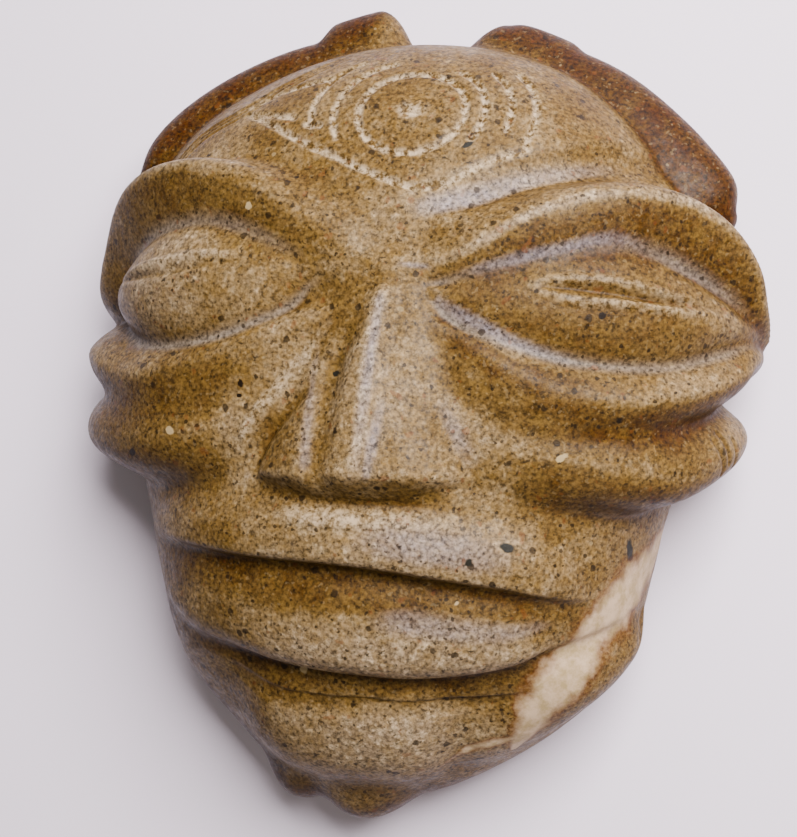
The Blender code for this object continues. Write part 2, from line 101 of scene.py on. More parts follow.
BROW_RIGHT = [
    (0, 37, 69, 5, 6, 1), (12, 40, 69, 7, 7, 1.5), (26, 45.5, 68, 8, 11, 4.5), (40, 51.5, 63, 8.5, 15, 7.5),
    (54, 55.5, 56, 9, 16, 9.5), (66, 54, 46, 8.5, 14, 11), (76, 47.5, 36, 7.5, 12, 12.5),
    (83, 39, 30, 6.5, 9, 13.5), (88, 31, 26, 6.5, 7, 12.5), (91, 24, 17, 6, 5, 11)]
BROW_LEFT = [
    (-97, 21, 12, 6, 5, 9), (-96, 29, 26, 6, 7, 10.5), (-92, 42, 33, 5, 9, 10), (-85, 51, 40, 5, 12, 10),
    (-68, 57.5, 51, 6, 12.5, 10.5), (-52, 60, 60, 8, 12, 9), (-37, 56.5, 66, 9, 10.5, 6.5),
    (-22, 48.5, 69, 9, 9, 3.5), (-9, 41, 69, 8, 7, 2), (2, 38, 69, 6, 6, 1)]

EYE_POD_RIGHT = [
    (13, 32, 69, 2, 2, 0.5), (28, 30, 67, 9.5, 9, 3), (43, 29, 63, 17.5, 13, 6),
    (57, 28.3, 57, 21, 16, 8), (68, 26, 49, 18, 14, 8.5), (78, 25.5, 38, 12, 9, 8.5), (86, 25, 28, 6, 5, 9),
    (90, 23.5, 18, 3, 3, 9)]
EYE_POD_LEFT = [
    (-87, 27, 36, 3, 4, 3), (-81, 27, 44, 11, 9, 6), (-72, 28, 52, 17, 13.5, 7.5),
    (-60, 29, 58, 19.5, 15, 7.5), (-47.5, 32.5, 63, 17.5, 14.5, 6), (-36, 35, 66, 11, 11, 3.5),
    (-22, 37, 68, 3, 3, 0.5)]

UNDER_EYE_ROLL_RIGHT = [
    (18, 22, 69, 4, 7, 1), (31, 13, 68, 8, 10, 4), (45, 6.5, 64, 10.5, 11, 7), (58, 5, 57, 11.5, 10.5, 9.5),
    (71, 8, 47, 9.5, 11, 11), (80, 13, 34, 10, 9.5, 11), (86, 18, 27, 11, 8, 10.5), (88, 19, 16, 11, 8, 9.5)]
UNDER_EYE_ROLL_LEFT = [
    (-97, 12, 12, 11, 12, 10), (-97, 12, 24, 11, 12, 12), (-92, 10, 35, 10, 12, 11), (-80, 6, 47, 9, 13, 8),
    (-64, 6, 57, 9, 12, 6.5), (-46, 11, 65, 7, 11, 4.5), (-32, 18, 68, 5, 9, 2.5), (-20, 25, 69, 3, 6, 1)]

CHEEK_ROLL_RIGHT = [
    (28, -5, 68, 12, 10, 2), (44, -9, 64, 14, 11, 6), (59, -12, 55, 15, 11, 10), (72, -12, 43, 14, 11, 13),
    (80, -7, 31, 12, 11, 14), (84, -4, 20, 11, 11, 13), (84, -4, 10, 11, 11, 11)]
CHEEK_ROLL_LEFT = [
    (-94, -10, 10, 12, 9, 12), (-94, -10, 22, 13, 9, 14), (-88, -11, 35, 13, 10, 13),
    (-76, -12, 47, 14, 11, 10), (-59, -10, 58, 14, 11, 7), (-42, -6, 65, 13, 10, 3), (-28, 0, 67, 8, 8, 1)]

HEADBAND_LEFT = [
    (-80, 58, 24, 6, 6, 7), (-75, 65, 22, 5, 9, 9), (-65, 78, 18, 5, 9, 9), (-52, 90, 15, 5, 9, 9),
    (-38, 97, 12, 5, 9, 8.5), (-26, 100, 10, 5, 9, 7.5)]
HEADBAND_RIGHT = [
    (13, 100, 10, 6, 9, 5), (28, 98, 11, 7, 10, 7), (44, 90, 13, 8, 11, 8.5), (57, 80, 16, 8, 11, 9.5),
    (67, 69, 18, 8, 11, 11), (74, 60, 20, 7, 9, 12), (76, 54, 20, 6, 6, 9)]
HEADBAND_LUMP_LEFT = [
    (-31, 101.5, 12, 7.5, 9, 12.5), (-20, 103.5, 12, 8.5, 9, 13.2)]
HEADBAND_LUMP_RIGHT = [
    (15, 101, 12, 9, 9, 9), (20, 101, 12, 8, 9, 10), (31, 99, 12, 7, 9, 9)]

UPPER_LIP = [
    (-66, -36, 42, 9, 4, 1), (-48, -35, 56, 11, 5, 3), (-27, -36, 65, 12, 5.5, 4),
    (-8, -37.5, 70, 12, 5.5, 4.5), (10, -39, 69, 12, 5.5, 4.5), (31, -41.5, 64, 12, 5, 3.5),
    (44, -44, 57, 11, 4.5, 2.5), (56, -47, 46, 8, 4, 0)]
LOWER_LIP = [
    (-68, -46, 34, 7, 6, 0), (-58, -53, 46, 13, 8, 1.8), (-42, -59, 56, 16, 9, 3.6),
    (-24, -62, 61, 19, 9.5, 5), (-5, -63, 62, 19, 9.5, 5.4), (10, -62.5, 60, 18, 9.5, 5.2),
    (26, -60, 56, 15, 9, 4.2), (36, -58, 52, 12, 7, 3), (45, -54, 47, 7, 5, 0)]

CHIN = [
    (-22, -84, 44, 17, 17, 6), (2, -84, 44, 17, 17, 6)]
CHIN_BUMP_LEFT = [
    (-29, -99, 20, 10, 9, 6), (-27, -99, 8, 10, 9, 6)]
CHIN_BUMP_RIGHT = [
    (-9, -101, 22, 12, 12, 6), (-8, -101, 8, 12, 12, 6)]
JAW_PANEL_RIGHT = [
    (26, -76, 36, 9, 12, 3), (43, -64, 34, 9, 12, 4), (56, -54, 24, 7, 10, 4)]

# The nose: from its root down to the middle of its base
NOSE_ROOT_MIDDLE = (2.0, 29.0)
NOSE_BASE_MIDDLE = (-3.0, -16.5)
NOSE_BASE_TILT = 0.05                   # how fast the base climbs towards the viewer's right
NOSE_HALF_WIDTH_AT_ROOT = 6.0
NOSE_HALF_WIDTH_AT_BASE = 28.0
NOSE_RISE_AT_ROOT = 1.0
NOSE_RISE_AT_BASE = 9.0
NOSE_UNDERSIDE_RUN = 10.5
NOSE_FILLET_AT_ROOT = 8.0
NOSE_POWER = 2.3
ROOT_RUN_OUT = 0.5                      # how fast the wedge dies away above the root
NOSE_FRONT_LEVEL = 36.0                 # the nose is only cut above this level

# The groove beside the nose's left wing, the flute between that wing and the ridge, and the ridge, whose
# depth is below nothing because it stands up
NOSE_GROOVE_LEFT = [
    (-31, -17, 64, 2.5, 2, 1.8), (-29, -10, 65, 2.5, 2, 1.8), (-23, -2, 66, 2.5, 2, 1.4),
    (-14, 8, 68, 2, 2, 0)]
NOSE_FLUTE_LEFT = [
    (-12, -15, 70, 5, 6, 2), (-12.5, -4, 70, 5, 6, 2.2), (-11, 10, 69, 4, 5, 1.8), (-5.5, 23, 69, 2, 3, 0)]
NOSE_RIDGE = [
    (0, 28, 69, 5, 5, -2), (-1.5, 12, 70, 5, 8, -1.8), (-1.5, -2, 71, 6, 11, -1), (-2, -13, 71, 6, 11, -0.5)]

# The eye slits
EYE_SLIT_RIGHT = [
    (36, 31.5, 62, 1, 1.5, 0), (42, 32, 62, 1.2, 2, 1.3), (54, 31, 58, 1.2, 2.4, 1.5),
    (66, 29.3, 50, 1.2, 2, 1.3), (78, 28, 36, 1, 1, 0)]
EYE_SLIT_LEFT = [
    (-83, 29, 38, 1, 1, 0), (-72, 30, 50, 1, 1.5, 0.8), (-60, 31, 58, 1, 1.5, 0.8),
    (-48, 33, 62, 1, 1.5, 0.6), (-37, 34.5, 63, 1, 1, 0)]

# The engraved forehead: rings and part rings about one middle, and the lid of an eye below them
RING_MIDDLE = (0.8, 75.6)
RING_FLATTENING = 0.83
RINGS = [
    (13.8, 0, 360), (20.5, 113, 206), (27, 130, 191), (18.6, -27, 55), (25, -12, 40), (31, -17, 35)]
RING_LEAST_POINTS = 4                   # that the shortest part ring is drawn through
RING_POINT_GAP = 30.0                   # degrees from one further point to the next
RING_PIT_HALF = 2.4
LID_LINE = [
    (-47, 77), (-36, 71.5), (-26, 66.5), (-16, 62.5), (-7.5, 59), (3.5, 55.5), (12, 57), (20, 61.5),
    (31, 66.5)]
ENGRAVED_HALF = 1.1
ENGRAVED_DEPTH = 0.7

# Grooves cut in afterwards: x, y, z, half width above, half width below, depth
MOUTH_LINE = [
    (-68, -36, 38, 2, 5, 0), (-58, -37, 48, 2.5, 6, 1), (-44, -38.5, 58, 3, 7, 1.2),
    (-27, -40.5, 65, 3, 8, 1.3), (-8, -42, 69, 3, 8, 1.3), (10, -43.5, 69, 3, 8, 1.3),
    (31, -46, 64, 3, 7, 1.2), (44, -48, 57, 2.5, 6, 1), (56, -49, 46, 2, 5, 0)]
LIP_FOLD = [
    (-60, -59.5, 42, 4, 4, 0), (-42, -68, 52, 4.5, 6, 1), (-25, -72, 56, 4.5, 7, 1.3),
    (-5, -73, 57, 4.5, 7, 1.3), (14, -72.5, 55, 4.5, 7, 1.3), (30, -69.5, 52, 4.5, 6, 1.4),
    (43, -62, 47, 3.5, 6, 1.5), (54, -54.5, 36, 4, 5, 1.5), (62, -48, 20, 4, 5, 0)]
BROW_VALLEY_RIGHT = [
    (4, 49, 63, 5, 5, 0), (12, 52, 61, 6, 5, 1.5), (21, 55, 59, 6, 6, 2.5), (32, 59, 54, 6, 6, 3),
    (44, 63, 48, 6, 6, 3), (55, 65.5, 39, 6, 6, 2.2), (66, 65, 26, 5, 5, 0)]

# How the cuts are worked: the power of each band's section above and below its line, and the fillet where
# it meets the rest
BROW_POWER = (1.7, 1.35)
UNDER_EYE_POWER = (1.3, 2.2)
CHEEK_POWER = (2.0, 2.2)
SOCKET_POWER = 1.2
GROOVE_POWER = 2.0
ENGRAVING_POWER = 1.0
DOME_POWER = (2.0, 2.0)
HEADBAND_POWER = (2.6, 2.6)
UPPER_LIP_POWER = (2.4, 1.6)
LOWER_LIP_POWER = (1.6, 1.6)
CREASE_FILLET = 2.0
BROW_FILLET = 4.0
CHEEK_FILLET = 6.0
LEAST_FILLET = 0.05
LEAST_FALL = 3.0                        # how far a band falls over its half width, at the least
LINE_STEPS = 16                         # lengths that a line is cut into between two of its rows
LINE_REACH = 1.6                        # how far from its line a band can matter, in half widths
LINE_MARGIN = 4.0                       # and in steps beyond that


def smooth_max(a, b, fillet):
    """The larger of two heights, with the crease between them filled to a radius."""
    near = np.maximum(fillet - np.abs(a - b), 0.0) / fillet
    return np.maximum(a, b) + fillet * near ** 2 / 4


def catmull_rom(rows, steps):
    """A smooth curve through the rows, every column carried along."""
    rows = np.array(rows, float)
    ends = np.vstack([2 * rows[0] - rows[1], rows, 2 * rows[-1] - rows[-2]])
    out = []
    for i in range(1, len(ends) - 2):
        p0, p1, p2, p3 = ends[i - 1:i + 3]
        for t in np.arange(steps) / steps:
            out.append(0.5 * (2 * p1 + (p2 - p0) * t + (2 * p0 - 5 * p1 + 4 * p2 - p3) * t ** 2
                              + (3 * p1 - p0 - 3 * p2 + p3) * t ** 3))
    out.append(ends[-2])
    return np.array(out)


def outline_reach(angle):
    """How far the plain body's widest line is from the heart, at an angle round the face."""
    # a smooth curve through the outline's points, of their distance over their angle
    points = np.array(BODY_OUTLINE, float) - HEART[:2]
    turn = np.arctan2(points[:, 1], points[:, 0])
    order = np.argsort(turn)
    turn = turn[order]
    reach = np.hypot(points[:, 0], points[:, 1])[order]
    turn = np.concatenate([turn[-2:] - 2 * np.pi, turn, turn[:2] + 2 * np.pi])
    reach = np.concatenate([reach[-2:], reach, reach[:2]])
    i = np.clip(np.searchsorted(turn, angle) - 1, 1, len(turn) - 3)
    gap = turn[i + 1] - turn[i]
    t = (angle - turn[i]) / gap
    slope_in = (reach[i + 1] - reach[i - 1]) / (turn[i + 1] - turn[i - 1]) * gap
    slope_out = (reach[i + 2] - reach[i]) / (turn[i + 2] - turn[i]) * gap
    return ((2 * t ** 3 - 3 * t ** 2 + 1) * reach[i] + (t ** 3 - 2 * t ** 2 + t) * slope_in
            + (3 * t ** 2 - 2 * t ** 3) * reach[i + 1] + (t ** 3 - t ** 2) * slope_out)


PROFILE_CURVE = catmull_rom(BODY_PROFILE, LINE_STEPS)


def body_reach(rays):
    """How far the plain body's surface is from the heart along each ray."""
    flat = np.hypot(rays[:, 0], rays[:, 1])
    side = outline_reach(np.arctan2(rays[:, 1], rays[:, 0]))
    near = np.zeros(len(rays))
    far = np.full(len(rays), FURTHEST)
    for _ in range(HALVINGS):
        middle = (near + far) / 2
        front = np.interp(HEART[1] + middle * rays[:, 1], PROFILE_CURVE[:, 0], PROFILE_CURVE[:, 1])
        rise = np.where(rays[:, 2] > 0, front, BACK_DROP)
        out = (middle * flat / side) ** SIDE_POWER + (middle * np.abs(rays[:, 2]) / rise) ** FRONT_POWER
        inside = out < 1
        near = np.where(inside, middle, near)
        far = np.where(inside, far, middle)
    return near


def on_body(points):
    """Where the rays from the heart through some points leave the plain body, and the rays."""
    rays = points - HEART
    rays = rays / np.linalg.norm(rays, axis=1)[:, None]
    return HEART + rays * body_reach(rays)[:, None], rays


def along(surface, rows):
    """Which surface points are near a line on the body, how many half widths above it, and its rise there."""
    curve = catmull_rom(rows, LINE_STEPS)
    line, out = on_body(curve[:, :3])
    reach = curve[:, 3:5].max() * LINE_REACH + LINE_MARGIN
    close = np.all((surface > line.min(0) - reach) & (surface < line.max(0) + reach), axis=1)
    p = surface[close]
    best = np.full(len(p), FURTHEST ** 2)
    half = np.ones(len(p))
    side = np.ones(len(p))
    rise = np.zeros(len(p))
    for i in range(len(line) - 1):
        run = line[i + 1] - line[i]
        t = np.clip((p - line[i]) @ run / (run @ run), 0, 1)
        off = p - line[i] - t[:, None] * run
        far = np.einsum('ij,ij->i', off, off)
        up = np.cross(out[i], run)
        above = off @ up > 0
        row = curve[i] + t[:, None] * (curve[i + 1] - curve[i])
        nearer = far < best
        best = np.where(nearer, far, best)
        side = np.where(nearer, np.where(above, 1.0, -1.0), side)
        half = np.where(nearer, np.where(above, row[:, 3], row[:, 4]), half)
        rise = np.where(nearer, row[:, 5], rise)
    return close, side * np.sqrt(best) / half, rise


def raise_band(height, surface, rows, power, fillet):
    """Add a raised band whose crown is the rows' line."""
    close, across, rise = along(surface, rows)
    fall = np.abs(across) ** np.where(across > 0, power[0], power[1])
    band = rise - np.maximum(rise, LEAST_FALL) * fall
    height[close] = smooth_max(height[close], band, np.clip(rise, LEAST_FILLET, fillet))


def sink(height, surface, rows, power):
    """Cut a hollow or groove along the rows' line."""
    close, across, depth = along(surface, rows)
    height[close] -= depth * np.maximum(1 - across ** 2, 0) ** power


def on_front(x, y):
    """The point of the plain body's front that is seen at x, y from straight ahead."""
    guess = np.array([[x, y, HEART[2] + BACK_DROP]])
    for _ in range(TOUCHES):
        seen, _ = on_body(guess)
        guess[0, :2] += np.array([x, y]) - seen[0, :2]
    return seen[0]


def engraved(points):
    """Rows for an engraved line through some points of the front."""
    return [(*on_front(x, y), ENGRAVED_HALF, ENGRAVED_HALF, ENGRAVED_DEPTH) for x, y in points]


def forehead_lines():
    """The rings, the part rings and the lid line."""
    lines = []
    for radius, start, stop in RINGS:
        turns = np.radians(np.linspace(start, stop, RING_LEAST_POINTS + int((stop - start) / RING_POINT_GAP)))
        lines.append(engraved([(RING_MIDDLE[0] + radius * np.cos(a),
                                RING_MIDDLE[1] + radius * RING_FLATTENING * np.sin(a)) for a in turns]))
    lines.append(engraved(LID_LINE))
    x, y = RING_MIDDLE
    pit = [on_front(x - 1, y), on_front(x + 1, y)]
    lines.append([(*p, RING_PIT_HALF, RING_PIT_HALF, ENGRAVED_DEPTH) for p in pit])
    return lines


def raise_nose(height, surface, rays):
    """Add the nose: a wedge that widens and rises to a base cut off short."""
    length = NOSE_ROOT_MIDDLE[1] - NOSE_BASE_MIDDLE[1]
    down = NOSE_ROOT_MIDDLE[1] - surface[:, 1]
    share = np.clip(down / length, 0, 1)
    middle = NOSE_ROOT_MIDDLE[0] + (NOSE_BASE_MIDDLE[0] - NOSE_ROOT_MIDDLE[0]) * share
    half = NOSE_HALF_WIDTH_AT_ROOT + (NOSE_HALF_WIDTH_AT_BASE - NOSE_HALF_WIDTH_AT_ROOT) * share
    rise = NOSE_RISE_AT_ROOT + (NOSE_RISE_AT_BASE - NOSE_RISE_AT_ROOT) * share
    wedge = rise * (1 - (np.abs(surface[:, 0] - middle) / half) ** NOSE_POWER)
    base = NOSE_BASE_MIDDLE[1] + NOSE_BASE_TILT * (surface[:, 0] - NOSE_BASE_MIDDLE[0])
    under = base - surface[:, 1] - rays[:, 1] * np.maximum(wedge, 0)
    wedge -= np.maximum(under, 0) * NOSE_RISE_AT_BASE / NOSE_UNDERSIDE_RUN
    wedge -= np.maximum(-down, 0) * ROOT_RUN_OUT
    facing = surface[:, 2] > NOSE_FRONT_LEVEL
    fillet = NOSE_FILLET_AT_ROOT + (CREASE_FILLET - NOSE_FILLET_AT_ROOT) * share
    height[facing] = smooth_max(height, wedge, fillet)[facing]


def carved(points):
    """The carved surface, in steps, on the rays from the heart through some points."""
    surface, rays = on_body(points)
    height = np.zeros(len(surface))
    for rows in (EYE_SOCKET_LEFT, EYE_SOCKET_RIGHT, BROW_VALLEY_RIGHT):
        sink(height, surface, rows, SOCKET_POWER)
    for power, fillet, bands in (
            (DOME_POWER, CHEEK_FILLET, (CHIN, JAW_PANEL_RIGHT, CHIN_BUMP_LEFT, CHIN_BUMP_RIGHT)),
            (HEADBAND_POWER, CREASE_FILLET, (HEADBAND_LEFT, HEADBAND_RIGHT)),
            (DOME_POWER, BROW_FILLET, (HEADBAND_LUMP_LEFT, HEADBAND_LUMP_RIGHT)),
            (CHEEK_POWER, CHEEK_FILLET, (CHEEK_ROLL_LEFT, CHEEK_ROLL_RIGHT)),
            (UNDER_EYE_POWER, CHEEK_FILLET, (UNDER_EYE_ROLL_LEFT, UNDER_EYE_ROLL_RIGHT)),
            (BROW_POWER, BROW_FILLET, (BROW_LEFT, BROW_RIGHT)),
            (DOME_POWER, CREASE_FILLET, (EYE_POD_LEFT, EYE_POD_RIGHT))):
        for rows in bands:
            raise_band(height, surface, rows, power, fillet)
    raise_nose(height, surface, rays)
    sink(height, surface, NOSE_RIDGE, GROOVE_POWER)
    raise_band(height, surface, LOWER_LIP, LOWER_LIP_POWER, CREASE_FILLET)
    raise_band(height, surface, UPPER_LIP, UPPER_LIP_POWER, CREASE_FILLET)
    for rows in (NOSE_GROOVE_LEFT, NOSE_FLUTE_LEFT, MOUTH_LINE, LIP_FOLD, EYE_SLIT_LEFT, EYE_SLIT_RIGHT):
        sink(height, surface, rows, GROOVE_POWER)
    for rows in forehead_lines():
        sink(height, surface, rows, ENGRAVING_POWER)
    return surface + rays * height[:, None]


# Fine relief, all shallow: x, y, z, half width above, half width below, depth. The lines at the corner of
# the forehead's eye are x, y, and the scratches are x, y, z.
HEADBAND_LINES_LEFT = [
    (-72, 58, 38, 0.8, 0.8, 0.3), (-62, 71, 39, 0.8, 0.8, 0.5), (-48, 79, 41, 0.8, 0.8, 0.5),
    (-34, 87, 38, 0.8, 0.8, 0.5), (-22, 93, 33, 0.8, 0.8, 0.3)]
HEADBAND_LINE_GAP = 2.6                 # each line lies this far inwards of the last, and a step higher
HEADBAND_LINE_REACH = 90.0              # how far the first is from the middle of the face
HEADBAND_LINE_COUNT = 3
LID_CORNER_LINES = [
    [(-47, 80), (-40, 83), (-34, 84.5), (-28, 86), (-23, 86.5)],
    [(-44, 76), (-37, 75), (-31, 74)],
    [(-27, 72), (-23, 71.5)]]
UNDER_LIP_LINE = [
    (-44, -69, 46, 1.5, 2.5, 0), (-26, -74.5, 51, 1.8, 3, 1.3), (-10, -76.5, 53, 1.8, 3, 1.6),
    (2, -77, 53, 1.8, 3, 1.6), (16, -76.5, 50, 1.8, 3, 1.4), (31, -73, 45, 1.5, 2.5, 0.9),
    (40, -68, 42, 1.5, 2, 0)]
# Fine ridges, with painted highlight along them: the same, standing up
PALE_RIDGES = [
    [(34, 32, 64, 1, 1, 0), (44, 34, 62, 1.4, 1.4, -0.5), (57, 33.5, 57, 1.4, 1.4, -0.5),
     (69, 31, 50, 1.4, 1.4, -0.4), (80, 28, 40, 1, 1, 0)],
    [(34, 31, 64, 1, 1, 0), (46, 28.5, 62, 1.3, 1.3, -0.6), (57, 28, 57, 1.3, 1.3, -0.7),
     (68, 27.4, 50, 1.3, 1.3, -0.6), (79, 27.5, 40, 1, 1, 0)],
    [(-79, 29.5, 44, 1, 1, -0.2), (-69, 32, 52, 1.6, 1.6, -0.9), (-58, 34, 58, 1.6, 1.6, -0.9),
     (-46, 36, 62, 1.4, 1.4, -0.6), (-36, 37, 65, 1, 1, 0)],
    [(-25, -25.5, 64, 1.5, 1.5, 0), (-14, -26.5, 67, 2.2, 2.2, -1), (0, -26.5, 68, 2.2, 2.2, -1),
     (14, -26.5, 67, 2, 2, -0.7), (25, -27, 64, 1.5, 1.5, 0)],
    [(-37.5, -15, 64, 1.5, 1.5, 0), (-34, -6, 66, 2, 2, -0.8), (-27, 5, 68, 2, 2, -0.8),
     (-19, 16, 69, 1.8, 1.8, -0.5), (-13, 25, 69, 1.2, 1.2, 0)]]
LOBE_SCRATCHES = [
    [(81, -1, 36), (83, -8, 33)], [(79.5, -3, 38), (82, -11, 34)], [(84, -2, 32), (84.5, -9, 29)]]
SCRATCH_HALF = 0.7
SCRATCH_DEPTH = 0.6

# The cream vein, along its middle from the jaw's edge to the chin: x, y, z, half width
VEIN = [
    (67, -27, 8, 3), (65, -33, 20, 5.5), (61, -41.3, 31, 8), (55.5, -50.3, 38, 8), (49, -59.5, 40, 6.2),
    (42.8, -69, 41, 5.6), (37.5, -79, 38, 4.6), (33.5, -87, 32, 1)]
VEIN_TAIL = [(37, -81, 37, 1), (31, -83, 38, 2.6), (24, -86, 39, 2.4), (15, -91, 36, 1)]
TAIL_SHARE = 0.45                       # the tail is this much of a full vein

# Places on the front that are pale, partly with real dust and partly with painted sheen: x, y, half width,
# half height, share, which may be over 1 where the paling has to hide the darkening and painted shade as well
DUST_AND_SHEEN_PLACES = [
    (0, 2, 16, 20, 0.6), (14, -31, 34, 9, 0.6), (4, -56.5, 38, 7, 1.2), (2, -80, 24, 9, 1.6),
    (0, 47, 18, 14, 0.4), (-36, -8, 6, 14, 0.7), (-24, 14, 12, 14, 0.6), (24, -8, 12, 20, 0.6),
    (-10, -28, 22, 8, 0.5), (-60, 30, 20, 13, 1.0), (-52, 60, 22, 7, 0.6)]
DUST_AND_SHEEN_LEVEL = 20.0                       # none lie below this height

# Lines of painted shade, or of painted sheen where the share is below nothing: x, y, z, half above, half
# below,
# share. Painted shade: the mouth's recess, the fold under the lips, the jaw's left edge, the lower half of
# the right eye and just under its lower lid. Painted sheen: the right brow's valley and crest, and the nose's
# ridge.
SHADE_AND_SHEEN_LINES = [
    [(-62, -42, 42, 5, 6, 0.4), (-40, -43, 60, 4, 6, 0.5), (0, -46.5, 66, 4, 6, 0.5),
     (30, -49, 62, 4, 5, 0.5), (48, -50, 54, 3, 4, 0)],
    [(-62, -58, 36, 7, 8, 0.6), (-42, -68, 52, 5, 7, 0.7), (-20, -74, 54, 3, 6, 0.7), (2, -75, 54, 3, 6, 0.7),
     (26, -72, 52, 3, 6, 0.7), (44, -63, 46, 3, 5, 0.5)],
    [(-74, -48, 14, 10, 10, 1), (-62, -66, 20, 9, 9, 2), (-44, -84, 24, 9, 9, 2), (-28, -98, 20, 9, 9, 1.6),
     (-6, -103, 20, 9, 9, 1.4), (14, -98, 20, 8, 8, 1)],
    [(4, 49.5, 63, 3, 3, 0), (12, 52, 61, 4, 4, -1), (32, 59, 54, 4, 4, -1), (55, 65.5, 39, 3, 3, 0)],
    [(10, 38.5, 69, 1.5, 1.5, 0), (23, 43, 68, 1.5, 1.5, -1), (35, 49.8, 64, 1.5, 1.5, -1.2),
     (46, 54, 60, 1.5, 1.5, -1.2), (58, 56, 54, 1.5, 1.5, -1), (69, 53, 44, 1.5, 1.5, -0.8),
     (80, 43, 32, 1.5, 1.5, 0)],
    [(24, 28, 67, 5, 6, 0.3), (42, 24, 63, 7, 7, 0.5), (58, 21.5, 57, 7, 7, 0.5), (74, 20, 43, 5, 5, 0.3)],
    [(12, 24, 67, 3, 4, 0.2), (20, 18.4, 65, 2.5, 4.5, 1), (31, 13, 66, 2.5, 5, 1),
     (43, 9.5, 64, 2.5, 4, 0.6), (56, 8.4, 60, 2.5, 3, 0)],
    [(-0.5, 27, 69, 2, 2, -0.6), (-1.5, 12, 70, 2, 2, -1), (-1.5, -2, 71, 2, 2, -1),
     (-2, -13, 71, 2, 2, -0.6)]]

# Lines of painted sheen, on the same terms: the right brow's valley, the right eye's lower and upper lids,
# four streaks on the nose and beside it, a knot at its root and a patch on each lip
SHEEN_LINES = [
    [(4, 49.5, 63, 2, 2, 0), (12, 52, 61, 3.5, 3.5, 0.6), (21, 55, 59, 3.5, 3.5, 0.6),
     (32, 59, 54, 3, 3, 0.4), (44, 63, 48, 2.5, 2.5, 0.3), (55, 65.5, 39, 2, 2, 0)],
    [(14, 28, 66, 1.2, 1.5, 0.4), (22, 23.5, 65, 1.5, 1.8, 0.7), (32, 19, 64, 1.3, 1.8, 0.6),
     (42, 16, 62, 1.2, 1.6, 0.3), (50, 14.5, 60, 1, 1, 0)],
    [(16, 34, 66, 1, 1, 0), (30, 38, 64, 1.5, 1.5, 0.5), (42, 41.5, 61, 1.5, 1.5, 0.5),
     (53, 44.5, 56, 1.5, 1.5, 0.4), (62, 43, 50, 1, 1, 0)],
    [(0, 27, 69, 1.4, 1.4, 0.4), (-1, 12, 70, 1.4, 1.4, 0.6), (-1.5, -2, 71, 1.4, 1.4, 0.3),
     (-2, -13, 71, 1.2, 1.2, 0.1)],
    [(1, -16, 75, 1.2, 1.2, 0.4), (2, -6, 74, 1.5, 1.5, 0.6), (3, 3.5, 72, 1, 1, 0)],
    [(15, 4, 67, 1.5, 1.5, 0), (20, -4, 66, 2.5, 2.5, 0.35), (24, -11, 65, 3, 3, 0.1)],
    [(-15.5, -14.5, 72, 1.5, 1.5, 0.3), (-16.5, 1, 68, 1.5, 1.5, 0.3), (-16, 18, 65, 1, 1, 0)],
    [(2, 35.7, 66, 0.6, 0.6, 0), (7.4, 35.4, 65, 0.9, 0.9, 0.6), (12, 35, 65, 0.6, 0.6, 0)],
    [(-4, -31, 68, 4, 3, 0), (8, -32, 68, 6, 4, 0.4), (24, -34, 65, 6, 4, 0.4), (38, -37, 62, 3, 3, 0)],
    [(0, -54, 66, 2, 2, 0), (10, -55, 66, 3.5, 3, 0.4), (26, -57, 63, 3.5, 3, 0.35), (42, -57, 57, 2, 2, 0.3),
     (50, -56, 52, 1, 1, 0)]]

# How dark the painted shade on each roll's lower face is, where 1 is in full. The headband is darkened all
# over.
SHADED_ROLLS = [
    (BROW_LEFT, 0.5), (BROW_RIGHT, 1.0), (UNDER_EYE_ROLL_LEFT, 0.8), (UNDER_EYE_ROLL_RIGHT, 1.0),
    (CHEEK_ROLL_LEFT, 0.8), (CHEEK_ROLL_RIGHT, 1.0)]
HEADBAND_DARKENING = 2.0
SHADED_RISE = 10.0                       # a roll that rises this far gets its full share
SHADE_ONSET = 0.25                        # how far below its crown the painted shade gets there, in half widths

# How far from its line each finish and painted light is at its fullest, and where it ends, in the line's half
# widths
DARK_FADE = (0.8, 1.3)
LIGHT_LINE_FADE = (0.5, 1.0)
DUST_AND_SHEEN_FADE = (0.4, 1.4)
SHEEN_FADE = (1 / 3, 1.0)
POWDER_FADE = (0.35, 1.35)
RIDGE_HIGHLIGHT_FADE = (0.3, 1.3)
RIDGE_HIGHLIGHT = 0.7                      # and how much painted highlight a ridge a step high holds
CREASE_FADE = (0.0, 0.5)                # from a pod's outline

# Single marks in the stone: x, y, z, half width, half height, turn in degrees, colour
MARKS = [
    (53.2, 25.5, 60, 1.2, 0.9, 0, "black"), (58.3, 0.9, 56, 1.3, 0.9, 20, "black"),
    (45.8, -9, 62, 1.7, 0.8, 40, "cream"), (-36, 4.5, 64, 0.8, 1.2, 10, "black"),
    (-36.3, 1.3, 64, 0.7, 0.7, 0, "black"), (-55.9, -8.5, 61, 1.3, 1.2, 0, "cream"),
    (-68.8, -15, 54, 1.3, 0.9, 20, "black"), (33.9, -31.5, 63, 1.9, 1.2, -15, "slate"),
    (60.3, -31.5, 36, 0.8, 3.6, 5, "slate"), (25.4, -35.5, 68, 1.1, 1, 30, "slate"),
    (-18.2, -66.9, 53, 1.2, 1.4, 0, "cream"), (-37.3, 49.4, 63, 0.9, 1, 0, "cream"),
    (16.7, 66.6, 57, 1.6, 0.8, 30, "slate"), (36.5, -79.8, 35, 1.2, 1.5, 0, "rust"),
    (-10.3, 8, 68, 1, 0.9, 0, "slate"), (22, -46, 64, 0.7, 0.8, 0, "cream")]
MARK_DEPTH = 4.0                        # half of how far a mark goes into the stone
MARK_WANDER = 0.0014                    # how far the grains shift a mark's edge, in metres

# The carving's middle at its back, and its height, in steps
CARVED_MIDDLE = np.array([-2.9, -0.3, 0.0])
CARVED_HEIGHT = 223.4
STEP = BLOCK.y / CARVED_HEIGHT

